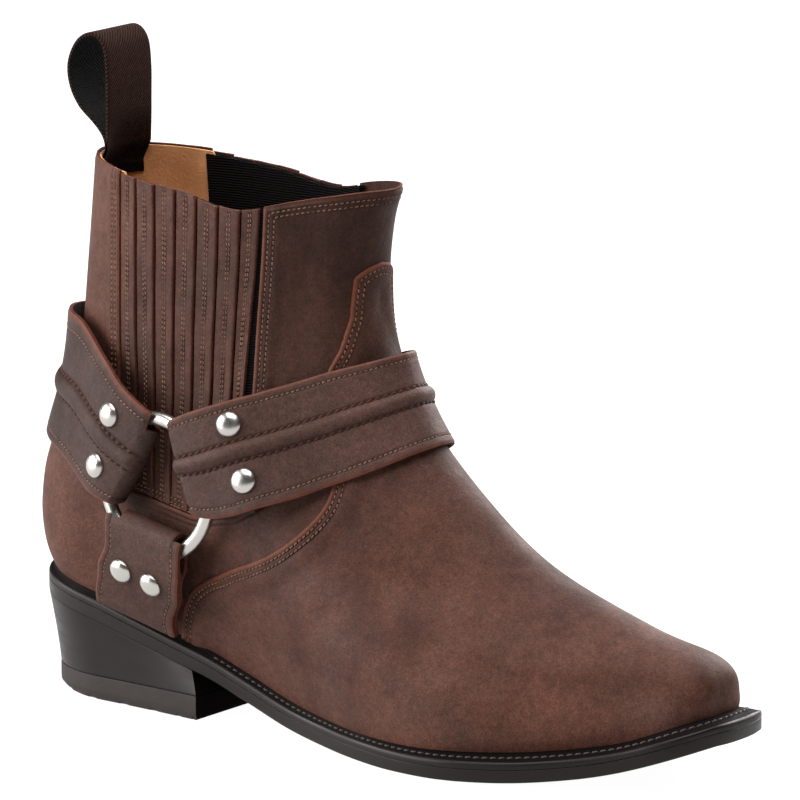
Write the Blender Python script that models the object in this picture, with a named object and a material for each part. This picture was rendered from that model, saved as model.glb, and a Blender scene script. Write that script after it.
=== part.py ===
# Western harness ankle boot, right foot, built on the form of its last.
# Worked in millimetres: x from the heel to the toe, y negative on the outer side, z up.
import math

import bmesh
import bpy
import numpy as np

MM = 0.001

# Driving dimensions of the shell and of what is laid on it.
WALL = 1.8                # thickness of the upper's wall
LAY_GAP = 0.55            # clear space between the wall and an overlay
LAY = 1.4                 # leather thickness of an overlay
LAP = 0.9                 # extra height of the vamp where it laps the next piece
LAP_WIDTH = 9.0           # width of that lap
SEAM_T = 0.004            # open seam between two overlays, as a share of the rings
SEAM_A = 0.0022           # the same, as a share round the ring
LAY_FOOT = 0.028          # where overlays start above the welt

# Driving dimensions of the sole.
EDGE = 7.5                # welt and outsole together
WELT = 2.7
INSOLE_TOP = 1.8
BREAST_X = 78.0           # front face of the heel
LIFT = 7.0                # top lift of the heel
CLEAR = 0.3               # space between stacked pieces

# Driving dimensions of the harness.
WIRE = 2.6                # radius of the ring's wire
RING = 25.0               # radius of the ring to the middle of its wire
RING_AT = (0.545, 0.2145)  # place of the ring on the form: ring share, share round
RING_OFF = 8.8            # height of the ring over the form
STRAP = 1.8               # leather thickness of a strap
LOOP_HALF = WIRE + 0.4 + STRAP / 2   # half the distance between the layers of a fold
RIDGE = 1.6               # height of the padded ridge along a strap
RIVET_R, RIVET_H = 4.7, 2.5

# Top of the welt along the boot.
SEAT_COLS = "x z"
SEAT = [
    (-6, 45.5), (34, 38), (52, 32.8), (69, 27.8), (85, 23.2), (100, 18), (120, 12),
    (146, 8.6), (168, 7.5), (204, 7.5), (233, 9.4), (259, 14.0), (292, 24.4),
]

# Middle line of the foot, swung a little to the inner side at the toe.
CENTRE_COLS = "x y"
CENTRE = [(-6, 0), (60, 0), (120, -1.0), (190, -1.5), (250, 1.0), (300, 3.0)]

# One row for each ring of the form, from the feather edge to the collar.
# back and front: ends of the ring; follow: share of the seat's curve; dip: sag of the top line;
# heel to toe: half widths; back_round and front_round: length of the round ends; square: their form.
RING_COLS = ("back_x back_z front_x front_z follow dip heel waist_out waist_in ball_out ball_in "
             "toe back_round front_round square").split()
RINGS = [
    (-2.0, 45.2, 284.5, 22.1, 1.00, 0, 31.0, 28.5, 25, 43.5, 41.0, 19, 0.11, 0.060, 3.20),
    (-6.0, 54.0, 286, 31.8, 1.00, 0, 33.0, 31.5, 28, 46.5, 44.0, 20, 0.11, 0.065, 3.20),
    (-8.5, 63.0, 282, 42.5, 0.90, 0, 33.5, 33.0, 30, 46.5, 44.5, 19, 0.12, 0.090, 2.80),
    (-9.0, 72.0, 253, 51.8, 0.75, 0, 33.5, 34.0, 32, 45.0, 44.0, 26, 0.14, 0.200, 2.20),
    (-7.5, 84.0, 212, 68.0, 0.50, 0, 33.0, 34.0, 33, 41.0, 41.0, 31, 0.17, 0.330, 2.00),
    (-3.0, 98.0, 181, 90.0, 0.25, 0, 32.0, 33.5, 33, 36.5, 36.5, 32, 0.21, 0.400, 2.00),
    (3.0, 113.0, 156, 115.0, 0.10, 0, 31.0, 33.0, 33, 33.0, 33.0, 32, 0.26, 0.450, 2.00),
    (8.0, 133.0, 141, 141.0, 0.00, 2, 30.5, 32.0, 32, 31.5, 31.5, 31, 0.32, 0.480, 2.00),
    (11.0, 165.0, 138, 169.0, 0.00, 4, 30.0, 31.0, 31, 31.0, 31.0, 31, 0.36, 0.480, 2.05),
    (14.0, 201.0, 142.5, 200.0, 0.00, 9, 30.0, 30.0, 30, 31.0, 31.0, 31, 0.38, 0.480, 2.10),
]
STATIONS = (0.12, 0.37, 0.68, 0.93)   # where heel, waist, ball and toe widths are taken
SOLE = (-6, 0, 291, 0, 0, 0, 34.5, 33, 28, 49, 46, 25.5, 0.115, 0.055, 3.4)

# Sag of the collar's top line: share from back to front, share of the ring's dip.
DIP = [(0, 0), (0.2, 0.25), (0.45, 0.6), (0.66, 1.0), (0.78, 0.62), (1, 0)]

# Rows and columns of the shell; overlays share them so that the facets stay parallel.
ROWS = (0, 0.11, 0.165, 0.215, 0.265, 0.33, 0.40, 0.48, 0.56, 0.62, 0.68, 0.74, 0.80, 0.86, 0.93, 1.0)
COLUMNS = 48

# Upper edge of the vamp: share round the ring, ring share. It ends in the tab up the front.
VAMP_EDGE = [
    (0.168, 0.05), (0.1745, 0.160), (0.184, 0.257), (0.213, 0.369), (0.249, 0.433), (0.289, 0.482),
    (0.319, 0.524), (0.342, 0.560), (0.360, 0.600), (0.380, 0.690), (0.397, 0.755), (0.418, 0.785),
    (0.438, 0.828), (0.443, 0.862), (0.447, 0.886), (0.470, 0.896), (0.500, 0.901),
]

SEAM_FOOT = (0.168, 0.1745, 0.184, 0.196)    # columns at the foot of the vamp's seam

# Edges of the elastic side panel: ring share, rear edge, front edge (shares round the ring).
GORE = [
    (0.48, 0.165, 0.258), (0.62, 0.1714, 0.2884), (0.717, 0.174, 0.311), (0.77, 0.172, 0.320),
    (0.85, 0.167, 0.328), (0.905, 0.162, 0.330), (1.0, 0.150, 0.325),
]
GORE_STRIPS = 7
GORE_BASE, GORE_STRIP = 0.5, 1.2      # height of the elastic and of the strips over it

# Lower edge of the side panel and of the front panel, where the quarter ends below them.
JOIN = [(0.150, 0.497), (0.225, 0.502), (0.262, 0.530), (0.300, 0.575), (0.340, 0.610), (0.400, 0.660)]

# Straps over the form, from the fold at the outer ring to the middle of the boot.
# low and high edge: share round and ring share; lie: height of the strap over the form there.
STRAP_COLS = "low_a low_t high_a high_t lie_low lie_high"
STRAP_FRONT = [
    (0.243, 0.519, 0.243, 0.668, 12.0, 12.0), (0.265, 0.522, 0.265, 0.689, 12.0, 12.0),
    (0.298, 0.546, 0.298, 0.711, 10.5, 11.0), (0.325, 0.566, 0.325, 0.725, 6.6, 8.0),
    (0.352, 0.586, 0.352, 0.737, 4.4, 5.6), (0.400, 0.609, 0.400, 0.753, 4.3, 5.2),
    (0.450, 0.624, 0.450, 0.760, 4.3, 7.2), (0.500, 0.629, 0.500, 0.762, 4.3, 9.2),
]
STRAP_BACK = [
    (0.1745, 0.476, 0.233, 0.677, 12.0, 12.0), (0.161, 0.475, 0.205, 0.714, 12.0, 12.0),
    (0.146, 0.478, 0.178, 0.757, 10.0, 10.5), (0.128, 0.500, 0.150, 0.787, 6.0, 8.0),
    (0.105, 0.519, 0.122, 0.808, 4.4, 7.6), (0.070, 0.528, 0.080, 0.812, 4.2, 7.2),
    (0.035, 0.531, 0.040, 0.812, 4.2, 7.2), (0.000, 0.532, 0.000, 0.808, 4.2, 7.2),
]
STRAP_LOW = [
    (0.166, 0.460, 0.228, 0.467, 12.6, 12.6), (0.151, 0.360, 0.210, 0.384, 12.4, 12.4),
    (0.136, 0.253, 0.190, 0.285, 11.0, 11.0), (0.127, 0.138, 0.1775, 0.160, 8.6, 8.6),
    (0.119, 0.046, 0.172, 0.058, 6.2, 6.2),
]
RIDGE_AT = (0.40, 0.45, 0.55, 0.60)    # across the strap: foot, top, top, foot of the ridge
# Rivets: strap, place along it in rows of its table, place across it.
RIVETS = {"front": [(1.95, 0.77), (1.90, 0.25)], "back": [(1.55, 0.75), (1.50, 0.24)],
          "low": [(1.80, 0.27), (1.80, 0.64)]}

# Pull loop: middle line of the webbing, from one end inside the collar round to the other.
LOOP_COLS = "x z"
LOOP = [
    (22.2, 190), (21.9, 200), (15.0, 211), (7.0, 222), (5.2, 232), (9.5, 241), (16.5, 244),
    (22.0, 240), (24.2, 230), (24.5, 215), (24.4, 200), (24.4, 190),
]
LOOP_WIDTH, LOOP_THICK = 26.0, 1.6

# Base colours.
LEATHER, STRAP_TONE, RUBBER = (0.095, 0.05, 0.038, 1), (0.07, 0.038, 0.03, 1), (0.012, 0.012, 0.013, 1)
METAL, WEB, BOARD = (0.6, 0.58, 0.55, 1), (0.05, 0.028, 0.022, 1), (0.3, 0.18, 0.09, 1)


def column(table, k):
    return [row[k] for row in table]


def smooth(xs, ys, x):
    """Smooth curve through the rows of a table: cubics with three-point slopes."""
    xs, ys, x = np.asarray(xs, float), np.asarray(ys, float), np.asarray(x, float)
    many = ys.ndim > 1
    h = np.diff(xs)
    hh = h[:, None] if many else h
    d = np.diff(ys, axis=0) / hh
    m = np.empty_like(ys)
    m[1:-1] = (d[:-1] * hh[1:] + d[1:] * hh[:-1]) / (hh[1:] + hh[:-1])
    m[0], m[-1] = 1.5 * d[0] - 0.5 * m[1], 1.5 * d[-1] - 0.5 * m[-2]
    i = np.clip(np.searchsorted(xs, x, side="right") - 1, 0, len(xs) - 2)
    w, hi = (x - xs[i]) / h[i], h[i]
    if many:
        w, hi = w[..., None], hi[..., None]
    return ((1 + 2 * w) * (1 - w) ** 2 * ys[i] + w * (1 - w) ** 2 * hi * m[i]
            + w * w * (3 - 2 * w) * ys[i + 1] + w * w * (w - 1) * hi * m[i + 1])


def seat(x):
    return smooth(column(SEAT, 0), column(SEAT, 1), np.clip(x, -6, 292))


def centre(x):
    return smooth(column(CENTRE, 0), column(CENTRE, 1), np.clip(x, -6, 300))


def ring_row(t):
    """Values of the ring table at a ring share between 0 and 1."""
    v = smooth(np.linspace(0, 1, len(RINGS)), np.array(RINGS, float), t)
    return {c: v[..., i] for i, c in enumerate(RING_COLS)}


def round_end(d, n):
    d = np.clip(d, 0, 1)
    return (1 - (1 - d) ** n) ** (1 / n)


def half_width(r, s, side):
    """Half width of an outline at share s from its back to its front."""
    knots = np.array([0, *STATIONS, 1.0])
    waist = r["waist_out"] if side < 0 else r["waist_in"]
    ball = r["ball_out"] if side < 0 else r["ball_in"]
    toe_end = r["toe"] - 0.1 * (ball - r["toe"])
    ys = np.stack([v + 0 * s for v in (r["heel"], r["heel"], waist, ball, r["toe"], toe_end)])
    h = np.diff(knots)
    d = [(ys[i + 1] - ys[i]) / h[i] for i in range(5)]
    mid = [(d[i] * h[i + 1] + d[i + 1] * h[i]) / (h[i] + h[i + 1]) for i in range(1, 4)]
    m = np.stack([0 * d[0], 0 * d[0], *mid, d[4]])
    i = np.broadcast_to(np.clip(np.searchsorted(knots, s, side="right") - 1, 0, 4), ys[0].shape)
    take = lambda table, k: np.take_along_axis(table, k[None], 0)[0]
    q = (s - knots[i]) / h[i]
    base = ((1 + 2 * q) * (1 - q) ** 2 * take(ys, i) + q * (1 - q) ** 2 * h[i] * take(m, i)
            + q * q * (3 - 2 * q) * take(ys, i + 1) + q * q * (q - 1) * h[i] * take(m, i + 1))
    return base * round_end(s / r["back_round"], 2.1) * round_end((1 - s) / r["front_round"], r["square"])


def plan(r, s, side):
    """Plan of an outline: x and y at share s on one side."""
    s = np.asarray(s, float)
    x = r["back_x"] + (r["front_x"] - r["back_x"]) * s
    return x, centre(x) + side * half_width(r, s, side)


def form(t, a):
    """The last: ring share t, share a round the ring (0 back, 0.5 front, outer side first)."""
    t, a = np.broadcast_arrays(np.asarray(t, float), np.mod(np.asarray(a, float), 1.0))
    s = 0.5 - 0.5 * np.cos(2 * np.pi * a)
    r = ring_row(t)
    x, y_out = plan(r, s, -1)
    y_in = plan(r, s, 1)[1]
    back_x, _, front_x = RINGS[0][:3]
    sag = seat(back_x + (front_x - back_x) * s) - (seat(back_x) + (seat(front_x) - seat(back_x)) * s)
    z = r["back_z"] + (r["front_z"] - r["back_z"]) * s + r["follow"] * sag
    z = z - r["dip"] * np.interp(s, column(DIP, 0), column(DIP, 1))
    return np.stack([x, np.where(a <= 0.5, y_out, y_in), z], -1)


def skin(t, a, off=0.0):
    """A point of the form moved out along its own normal, and that normal."""
    t = np.asarray(t, float)
    across = form(t, a + 2e-3) - form(t, a - 2e-3)
    along = form(np.clip(t + 1e-3, 0, 1), a) - form(np.clip(t - 1e-3, 0, 1), a)
    n = np.cross(across, along)
    n = n / np.linalg.norm(n, axis=-1, keepdims=True)
    return form(t, a) + n * np.asarray(off, float)[..., None], n


def make(name, points, faces, colour, rough=0.6, metal=0.0):
    """A named closed object with its own material, faces turned outward."""
    mesh = bpy.data.meshes.new(name)
    mesh.from_pydata([tuple(float(c) for c in p) for p in points], [], [tuple(int(i) for i in f) for f in faces])
    bm = bmesh.new()
    bm.from_mesh(mesh)
    bmesh.ops.remove_doubles(bm, verts=bm.verts, dist=1e-5)
    bmesh.ops.triangulate(bm, faces=bm.faces)
    bmesh.ops.recalc_face_normals(bm, faces=bm.faces)
    if bm.calc_volume(signed=True) < 0:
        bmesh.ops.reverse_faces(bm, faces=bm.faces)
    bm.to_mesh(mesh)
    bm.free()
    material = bpy.data.materials.new(name)
    material.use_nodes = True
    shader = material.node_tree.nodes["Principled BSDF"]
    shader.inputs["Base Color"].default_value = colour
    shader.inputs["Roughness"].default_value = rough
    shader.inputs["Metallic"].default_value = metal
    mesh.materials.append(material)
    obj = bpy.data.objects.new(name, mesh)
    bpy.context.scene.collection.objects.link(obj)
    return obj


def thicken(name, top, bottom, faces, *look):
    """A solid from two sheets with the same faces, closed along their free edges."""
    n = len(top)
    count = {}
    for f in faces:
        for i, j in zip(f, f[1:] + f[:1]):
            count[(i, j)] = count.get((i, j), 0) + 1
    walls = [(j, i, i + n, j + n) for i, j in count if (j, i) not in count]
    under = [tuple(i + n for i in reversed(f)) for f in faces]
    return make(name, list(top) + list(bottom), list(faces) + under + walls, *look)


def grid_faces(rows, cols, wrap=False):
    span = cols if wrap else cols - 1
    return [(r * cols + c, r * cols + (c + 1) % cols, (r + 1) * cols + (c + 1) % cols, (r + 1) * cols + c)
            for r in range(rows - 1) for c in range(span)]


def sheet(columns, limits=None):
    """Triangles between neighbouring columns of (t, a) points; limits clip a pair to a range of t."""
    start = np.cumsum([0] + [len(c) for c in columns])
    faces = []
    for k in range(len(columns) - 1):
        lo, hi = (limits or {}).get(k, (-1, 2))
        pick = lambda c: [i for i, p in enumerate(columns[c]) if lo - 1e-9 <= p[0] <= hi + 1e-9]
        left, right = pick(k), pick(k + 1)
        i = j = 0
        while i < len(left) - 1 or j < len(right) - 1:
            up_left = columns[k][left[i + 1]][0] if i < len(left) - 1 else 9
            up_right = columns[k + 1][right[j + 1]][0] if j < len(right) - 1 else 9
            a, b = start[k] + left[i], start[k + 1] + right[j]
            if up_left <= up_right:
                faces.append((a, b, start[k] + left[i + 1]))
                i += 1
            else:
                faces.append((a, b, start[k + 1] + right[j + 1]))
                j += 1
    points = np.array([p for c in columns for p in c], float)
    return points, [tuple(int(v) for v in f) for f in faces]


def rows_between(low, high):
    """Row shares of the shell between two limits, with both limits."""
    inner = [t for t in ROWS if low + 0.012 < t < high - 0.012]
    return [low, *inner, high]


def steps_between(low, high):
    """Column shares of the shell between two limits, with both limits."""
    inner = [k / COLUMNS for k in range(-COLUMNS, COLUMNS + 1) if low + 0.004 < k / COLUMNS < high - 0.004]
    return [low, *inner, high]


def vamp_edge(a):
    a = 0.5 - abs(0.5 - a)
    return float(np.interp(a, column(VAMP_EDGE, 0), column(VAMP_EDGE, 1)))


def join_edge(a):
    a = 0.5 - abs(0.5 - (a % 1.0))
    return float(np.interp(a, column(JOIN, 0), column(JOIN, 1)))


def gore_edge(t, k):
    return np.interp(t, column(GORE, 0), column(GORE, k))


def build_sole():
    sole = dict(zip(RING_COLS, SOLE))
    shares = 0.5 - 0.5 * np.cos(np.pi * np.linspace(0.02, 0.985, 33))

    # Outsole: a full plate, flat on the floor under the ball.
    x = sole["back_x"] + (sole["front_x"] - sole["back_x"]) * shares
    out, inn = plan(sole, shares, -1)[1], plan(sole, shares, 1)[1]
    mid = (out + inn) / 2
    z_top = seat(x) - WELT - CLEAR
    z_low = np.maximum(seat(x) - EDGE, 0.0)
    flat = lambda z: np.stack([np.stack([x, y, z], -1) for y in (out, mid, inn)], 1).reshape(-1, 3)
    thicken("outsole", flat(z_top), flat(z_low), grid_faces(len(x), 3), RUBBER, 0.5)

    # Welt: the stitched band that the upper stands on, open in the middle.
    feather = dict(zip(RING_COLS, RINGS[0]))
    def shrink(row, d):
        r = dict(row)
        r["back_x"], r["front_x"] = r["back_x"] + d, r["front_x"] - d
        for key in ("heel", "waist_out", "waist_in", "ball_out", "ball_in", "toe"):
            r[key] = r[key] - d
        return r
    def loop(row, n=40):
        s = 0.5 - 0.5 * np.cos(2 * np.pi * np.arange(n) / n)
        side = np.where(np.arange(n) <= n // 2, -1, 1)
        xo, yo = plan(row, s, -1)
        return np.stack([xo, np.where(side < 0, yo, plan(row, s, 1)[1])], -1)
    outer, inner = loop(sole), loop(shrink(feather, WALL + 0.2))
    lift = lambda p, dz: np.column_stack([p, seat(p[:, 0]) + dz])
    n = len(outer)
    thicken("welt", np.vstack([lift(outer, 0), lift(inner, 0)]), np.vstack([lift(outer, -WELT), lift(inner, -WELT)]),
            grid_faces(2, n, True), RUBBER, 0.45)

    # Insole board inside the welt and the upper.
    board = shrink(feather, WALL + 1.4)
    xb = board["back_x"] + (board["front_x"] - board["back_x"]) * shares[::2]
    ob, ib = plan(board, shares[::2], -1)[1], plan(board, shares[::2], 1)[1]
    plate = lambda dz: np.stack([np.column_stack([xb, y, seat(xb) + dz]) for y in (ob, (ob + ib) / 2, ib)], 1).reshape(-1, 3)
    thicken("insole", plate(INSOLE_TOP), plate(-WELT), grid_faces(len(xb), 3), BOARD, 0.8)

    # Heel block under the outsole and its top lift, lofted from the floor outline to the seat.
    v = 0.5 - 0.5 * np.cos(np.pi * np.linspace(0, 1, 11))
    v = v / v[-1]
    def floor_outline(back, widen):
        xs = back + (BREAST_X - back) * v
        w = (31.5 + widen + 2.5 * v) * round_end(v / 0.42, 2.1)
        return xs, centre(xs) - w, centre(xs) + w
    def seat_outline():
        xs = sole["back_x"] + (BREAST_X - sole["back_x"]) * v
        s = (xs - sole["back_x"]) / (sole["front_x"] - sole["back_x"])
        return xs, plan(sole, s, -1)[1], plan(sole, s, 1)[1]
    def close(xs, lo, hi, z):
        z = z + 0 * xs
        one = np.column_stack([xs, lo, z])
        two = np.column_stack([xs, hi, z])
        return np.vstack([one, two[:0:-1]])
    low = floor_outline(-2.0, 0.0)
    top = seat_outline()
    levels = []
    for h in (0.0, 0.35, 0.7, 1.0):
        bend = h ** 1.25                       # the heel's sides are slightly hollow
        xs, lo, hi = (p + (q - p) * bend for p, q in zip(low, top))
        z0, z1 = LIFT + CLEAR, seat(top[0]) - EDGE - CLEAR
        levels.append(close(xs, lo, hi, z0 + (z1 - z0) * h))
    block("heel", levels, 0.5)
    foot = floor_outline(1.0, -1.2)
    block("top_lift", [close(*foot, 0.0), close(*low, 3.0), close(*low, LIFT)], 0.75)


def block(name, levels, rough):
    """A solid lofted through closed outlines, capped by strips between its two sides."""
    n = len(levels[0])
    faces = grid_faces(len(levels), n, True)
    half = (n + 1) // 2
    for base, flip in ((0, True), ((len(levels) - 1) * n, False)):
        for k in range(half - 1):
            quad = [base + k, base + k + 1, base + (n - k - 1) % n, base + (n - k) % n]
            quad = list(dict.fromkeys(quad))
            faces.append(tuple(reversed(quad)) if flip else tuple(quad))
    make(name, np.vstack(levels), faces, RUBBER, rough)


def build_upper():
    # Upper: one hollow wall from the feather edge to the collar, open at both.
    t, a = np.meshgrid(ROWS, np.arange(COLUMNS) / COLUMNS, indexing="ij")
    t, a = t.ravel(), a.ravel()
    thicken("upper", skin(t, a)[0], skin(t, a, -WALL)[0], grid_faces(len(ROWS), COLUMNS, True), LEATHER)


def overlay(name, columns, height=None, limits=None, *look):
    """An overlay cut from the form between its own columns of points."""
    p, faces = sheet(columns, limits)
    t, a = p[:, 0], p[:, 1]
    rise = LAY_GAP + LAY + (0 * t if height is None else height(t, a))
    return thicken(name, skin(t, a, rise)[0], skin(t, a, LAY_GAP)[0], faces, *(look or (LEATHER,)))


def build_overlays():
    # Vamp: over the forefoot and up the front as a tab, thicker where it laps the next pieces.
    half = [*SEAM_FOOT, *[k / COLUMNS for k in range(10, 22)], 0.4445, 0.447, 22 / COLUMNS, 23 / COLUMNS, 0.5]
    columns = []
    for a in half + [1 - a for a in half[-2::-1]]:
        edge = vamp_edge(a)
        near = edge - LAP_WIDTH / 160
        rows = rows_between(LAY_FOOT, edge)
        if near > LAY_FOOT + 0.02:
            rows = sorted([r for r in rows if abs(r - near) > 0.012 or r in (LAY_FOOT, edge)] + [near])
        columns.append([(t, a) for t in rows])
    lap = lambda t, a: LAP * np.array([float(vamp_edge(y) - x < LAP_WIDTH / 160 - 1e-6) for x, y in zip(t, a)])
    overlay("vamp", columns, lap)

    # Quarter: round the heel and up the back, and forward below the elastic panels to the vamp.
    sill = join_edge(0.15) - SEAM_T
    first = SEAM_FOOT[0] - SEAM_A
    side = [[(t, first) for t in rows_between(LAY_FOOT, sill)]]
    for a in [*SEAM_FOOT[1:], *[k / COLUMNS for k in range(10, 18)]]:
        low, high = vamp_edge(a + SEAM_A) + SEAM_T, join_edge(a) - SEAM_T
        if high - low > 0.01:
            side.append([(t, a) for t in rows_between(low, high)])
    edge_rows = rows_between(LAY_FOOT, sill) + [t for t in ROWS if t > sill + 0.02]
    edge_at = lambda t: 0.16 if t < sill else float(gore_edge(t, 1)) - SEAM_A
    edge = [(t, edge_at(t)) for t in edge_rows]
    near = [(t, 6 / COLUMNS + 0.55 * (edge_at(t) - 6 / COLUMNS)) for t in rows_between(LAY_FOOT, 1.0)]
    back = [[(t, k / COLUMNS) for t in rows_between(LAY_FOOT, 1.0)] for k in range(1, 7)]
    mirror = lambda c: [(t, -a) for t, a in c]
    middle = [(t, 0.0) for t in rows_between(LAY_FOOT, 1.0)]
    right = [*back, near, edge, *side]
    columns = [mirror(c) for c in right[::-1]] + [middle] + right
    n = len(side)
    limits = {n - 1: (-1, sill), len(columns) - n - 1: (-1, sill)}
    overlay("quarter", columns, None, limits)

    # Front panel of the shaft, between the elastic panels and above the vamp's tab.
    columns = []
    for share in (0.0, 0.25, 0.5, 0.75):
        at = lambda t: float(gore_edge(t, 2)) + SEAM_A + share * (17 / COLUMNS - float(gore_edge(t, 2)) - SEAM_A)
        low = 0.55
        for _ in range(6):
            low = join_edge(at(low)) + 3 * SEAM_T
        columns.append([(t, at(t)) for t in rows_between(low, 1.0)])
    for a in [*[k / COLUMNS for k in range(17, 22)], 0.4445, 0.447, 22 / COLUMNS, 23 / COLUMNS, 0.5]:
        low = max(join_edge(a) + 2 * SEAM_T, vamp_edge(a)) + SEAM_T
        columns.append([(t, a) for t in rows_between(low, 1.0)])
    columns += [[(t, 1 - a) for t, a in c] for c in columns[-2::-1]]
    overlay("shaft_front", columns)

    # Elastic side panels: one wall with leather strips raised on it.
    for name, flip in (("gore_outer", False), ("gore_inner", True)):
        columns, heights = [], []
        for k in range(GORE_STRIPS):
            for v, high in ((0.03, 0), (0.10, 1), (0.90, 1), (0.97, 0)):
                share = (k + v) / GORE_STRIPS
                col = []
                for t in (0, 0.33, 0.67, 1.0):
                    t = 0.512 + (0.996 - 0.512) * t
                    lo, hi = gore_edge(t, 1) + SEAM_A, gore_edge(t, 2) - SEAM_A
                    a = lo + (hi - lo) * share
                    t = max(t, join_edge(a) + SEAM_T)
                    col.append((t, 1 - a if flip else a))
                    heights.append(GORE_STRIP * high)
                columns.append(col)
        p, faces = sheet(columns)
        top = skin(p[:, 0], p[:, 1], LAY_GAP + GORE_BASE + np.array(heights))[0]
        thicken(name, top, skin(p[:, 0], p[:, 1], LAY_GAP)[0], faces, LEATHER)


RING_FRAME = {}


def ring_frame(flip):
    """Middle and axis of a ring on the outer or the inner side."""
    if flip not in RING_FRAME:
        t, a = RING_AT
        RING_FRAME[flip] = skin(t, 1 - a if flip else a, RING_OFF)
    return RING_FRAME[flip]


def fold_height(t, a, flip):
    """Height of the ring's plane over the form, held to a narrow band."""
    c, n = ring_frame(flip)
    p, m = skin(t, a)
    return np.clip(np.sum((c - p) * n, -1) / np.sum(m * n, -1), 7.5, 9.9)


def strap_mid(table, u, w, flip):
    """Middle of a strap's leather: u along its table (below 0 round the fold and under), w across."""
    u, w = np.broadcast_arrays(np.asarray(u, float), np.asarray(w, float))
    rows = np.array(table, float)
    ends = [form(rows[k, 1::2][:2], rows[k, 0::2][:2]) for k in (0, 1)]
    length = np.linalg.norm(ends[1] - ends[0], axis=1).mean()    # millimetres in the first row
    half, bend = LOOP_HALF / length, math.pi * LOOP_HALF / length
    angle = np.clip((half - u) / bend, 0, 1) * math.pi           # 0 on the face, pi on the under side
    at = np.where(u >= half, u, half - half * np.sin(angle) + np.maximum(half - bend - u, 0))
    height = np.cos(angle)
    v = smooth(np.arange(len(rows)), rows, np.clip(at, 0, len(rows) - 1))
    a = v[..., 0] + (v[..., 2] - v[..., 0]) * w
    t = v[..., 1] + (v[..., 3] - v[..., 1]) * w
    lie = v[..., 4] + (v[..., 5] - v[..., 4]) * w
    a = 1 - a if flip else a
    folded = fold_height(t, a, flip) + LOOP_HALF * height
    blend = np.where(u >= half, np.clip(at - 1.2, 0, 1), 0.0)
    blend = blend * blend * (3 - 2 * blend)
    return skin(t, a, folded + (lie - folded) * blend)[0]


def strap_normal(mid, u, w):
    du = mid(u + 0.02, w) - mid(u - 0.02, w)
    dw = mid(u, np.minimum(w + 0.02, 1)) - mid(u, np.maximum(w - 0.02, 0))
    n = np.cross(du, dw)
    return n / np.linalg.norm(n, axis=-1, keepdims=True)


def ribbon(name, mid, us, ws, rise, notch, turn=1, mirror=0):
    """A strip of leather along a path: u along, w across, with a ridge raised on its face.
    The fold is notched where the ring leaves it."""
    u, w = (g.ravel() for g in np.meshgrid(us, ws, indexing="ij"))
    m, n = mid(u, w), strap_normal(mid, u, w) * turn
    up = np.array([rise(x, y) for x, y in zip(u, w)])[:, None]
    last = 2 * mirror if mirror else 99.0
    folded = lambda f: min(u[f[0]], last - u[f[2]]) > -1.16 and min(u[f[2]], last - u[f[0]]) < 0.45
    cut = lambda f: folded(f) and not notch[0] - 1e-6 <= (w[f[0]] + w[f[1]]) / 2 <= notch[1] + 1e-6
    faces = [f for f in grid_faces(len(us), len(ws)) if not cut(f)]
    thicken(name, m + n * (STRAP / 2 + up), m - n * STRAP / 2, faces, STRAP_TONE)


def dome(name, at, axis, radius, height, sides=8):
    """A domed rivet head standing on a strap."""
    axis = axis / np.linalg.norm(axis)
    e = np.cross(axis, [0.3, 0.2, 1.0])
    e = e / np.linalg.norm(e)
    f = np.cross(axis, e)
    points, faces = [], []
    for r, h in ((1.0, 0.0), (0.96, 0.35), (0.62, 0.82)):
        for k in range(sides):
            g = 2 * math.pi * k / sides
            points.append(at + radius * r * (e * math.cos(g) + f * math.sin(g)) + axis * height * h)
    faces += grid_faces(3, sides, True)
    points.append(at + axis * height)
    faces += [(2 * sides + k, 2 * sides + (k + 1) % sides, 3 * sides) for k in range(sides)]
    faces.append(tuple(range(sides - 1, -1, -1)))
    make(name, points, faces, METAL, 0.25, 1.0)


def torus(name, c, axis, radius, wire, around=20, tube=6):
    e = np.cross(axis, [0, 0, 1.0])
    e = e / np.linalg.norm(e)
    f = np.cross(axis, e)
    points = []
    for i in range(around):
        g = 2 * math.pi * i / around
        out = e * math.cos(g) + f * math.sin(g)
        for j in range(tube):
            b = 2 * math.pi * j / tube
            points.append(c + out * (radius + wire * math.cos(b)) + axis * wire * math.sin(b))
    faces = [(i * tube + j, ((i + 1) % around) * tube + j, ((i + 1) % around) * tube + (j + 1) % tube,
              i * tube + (j + 1) % tube) for i in range(around) for j in range(tube)]
    make(name, points, faces, METAL, 0.22, 1.0)


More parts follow.
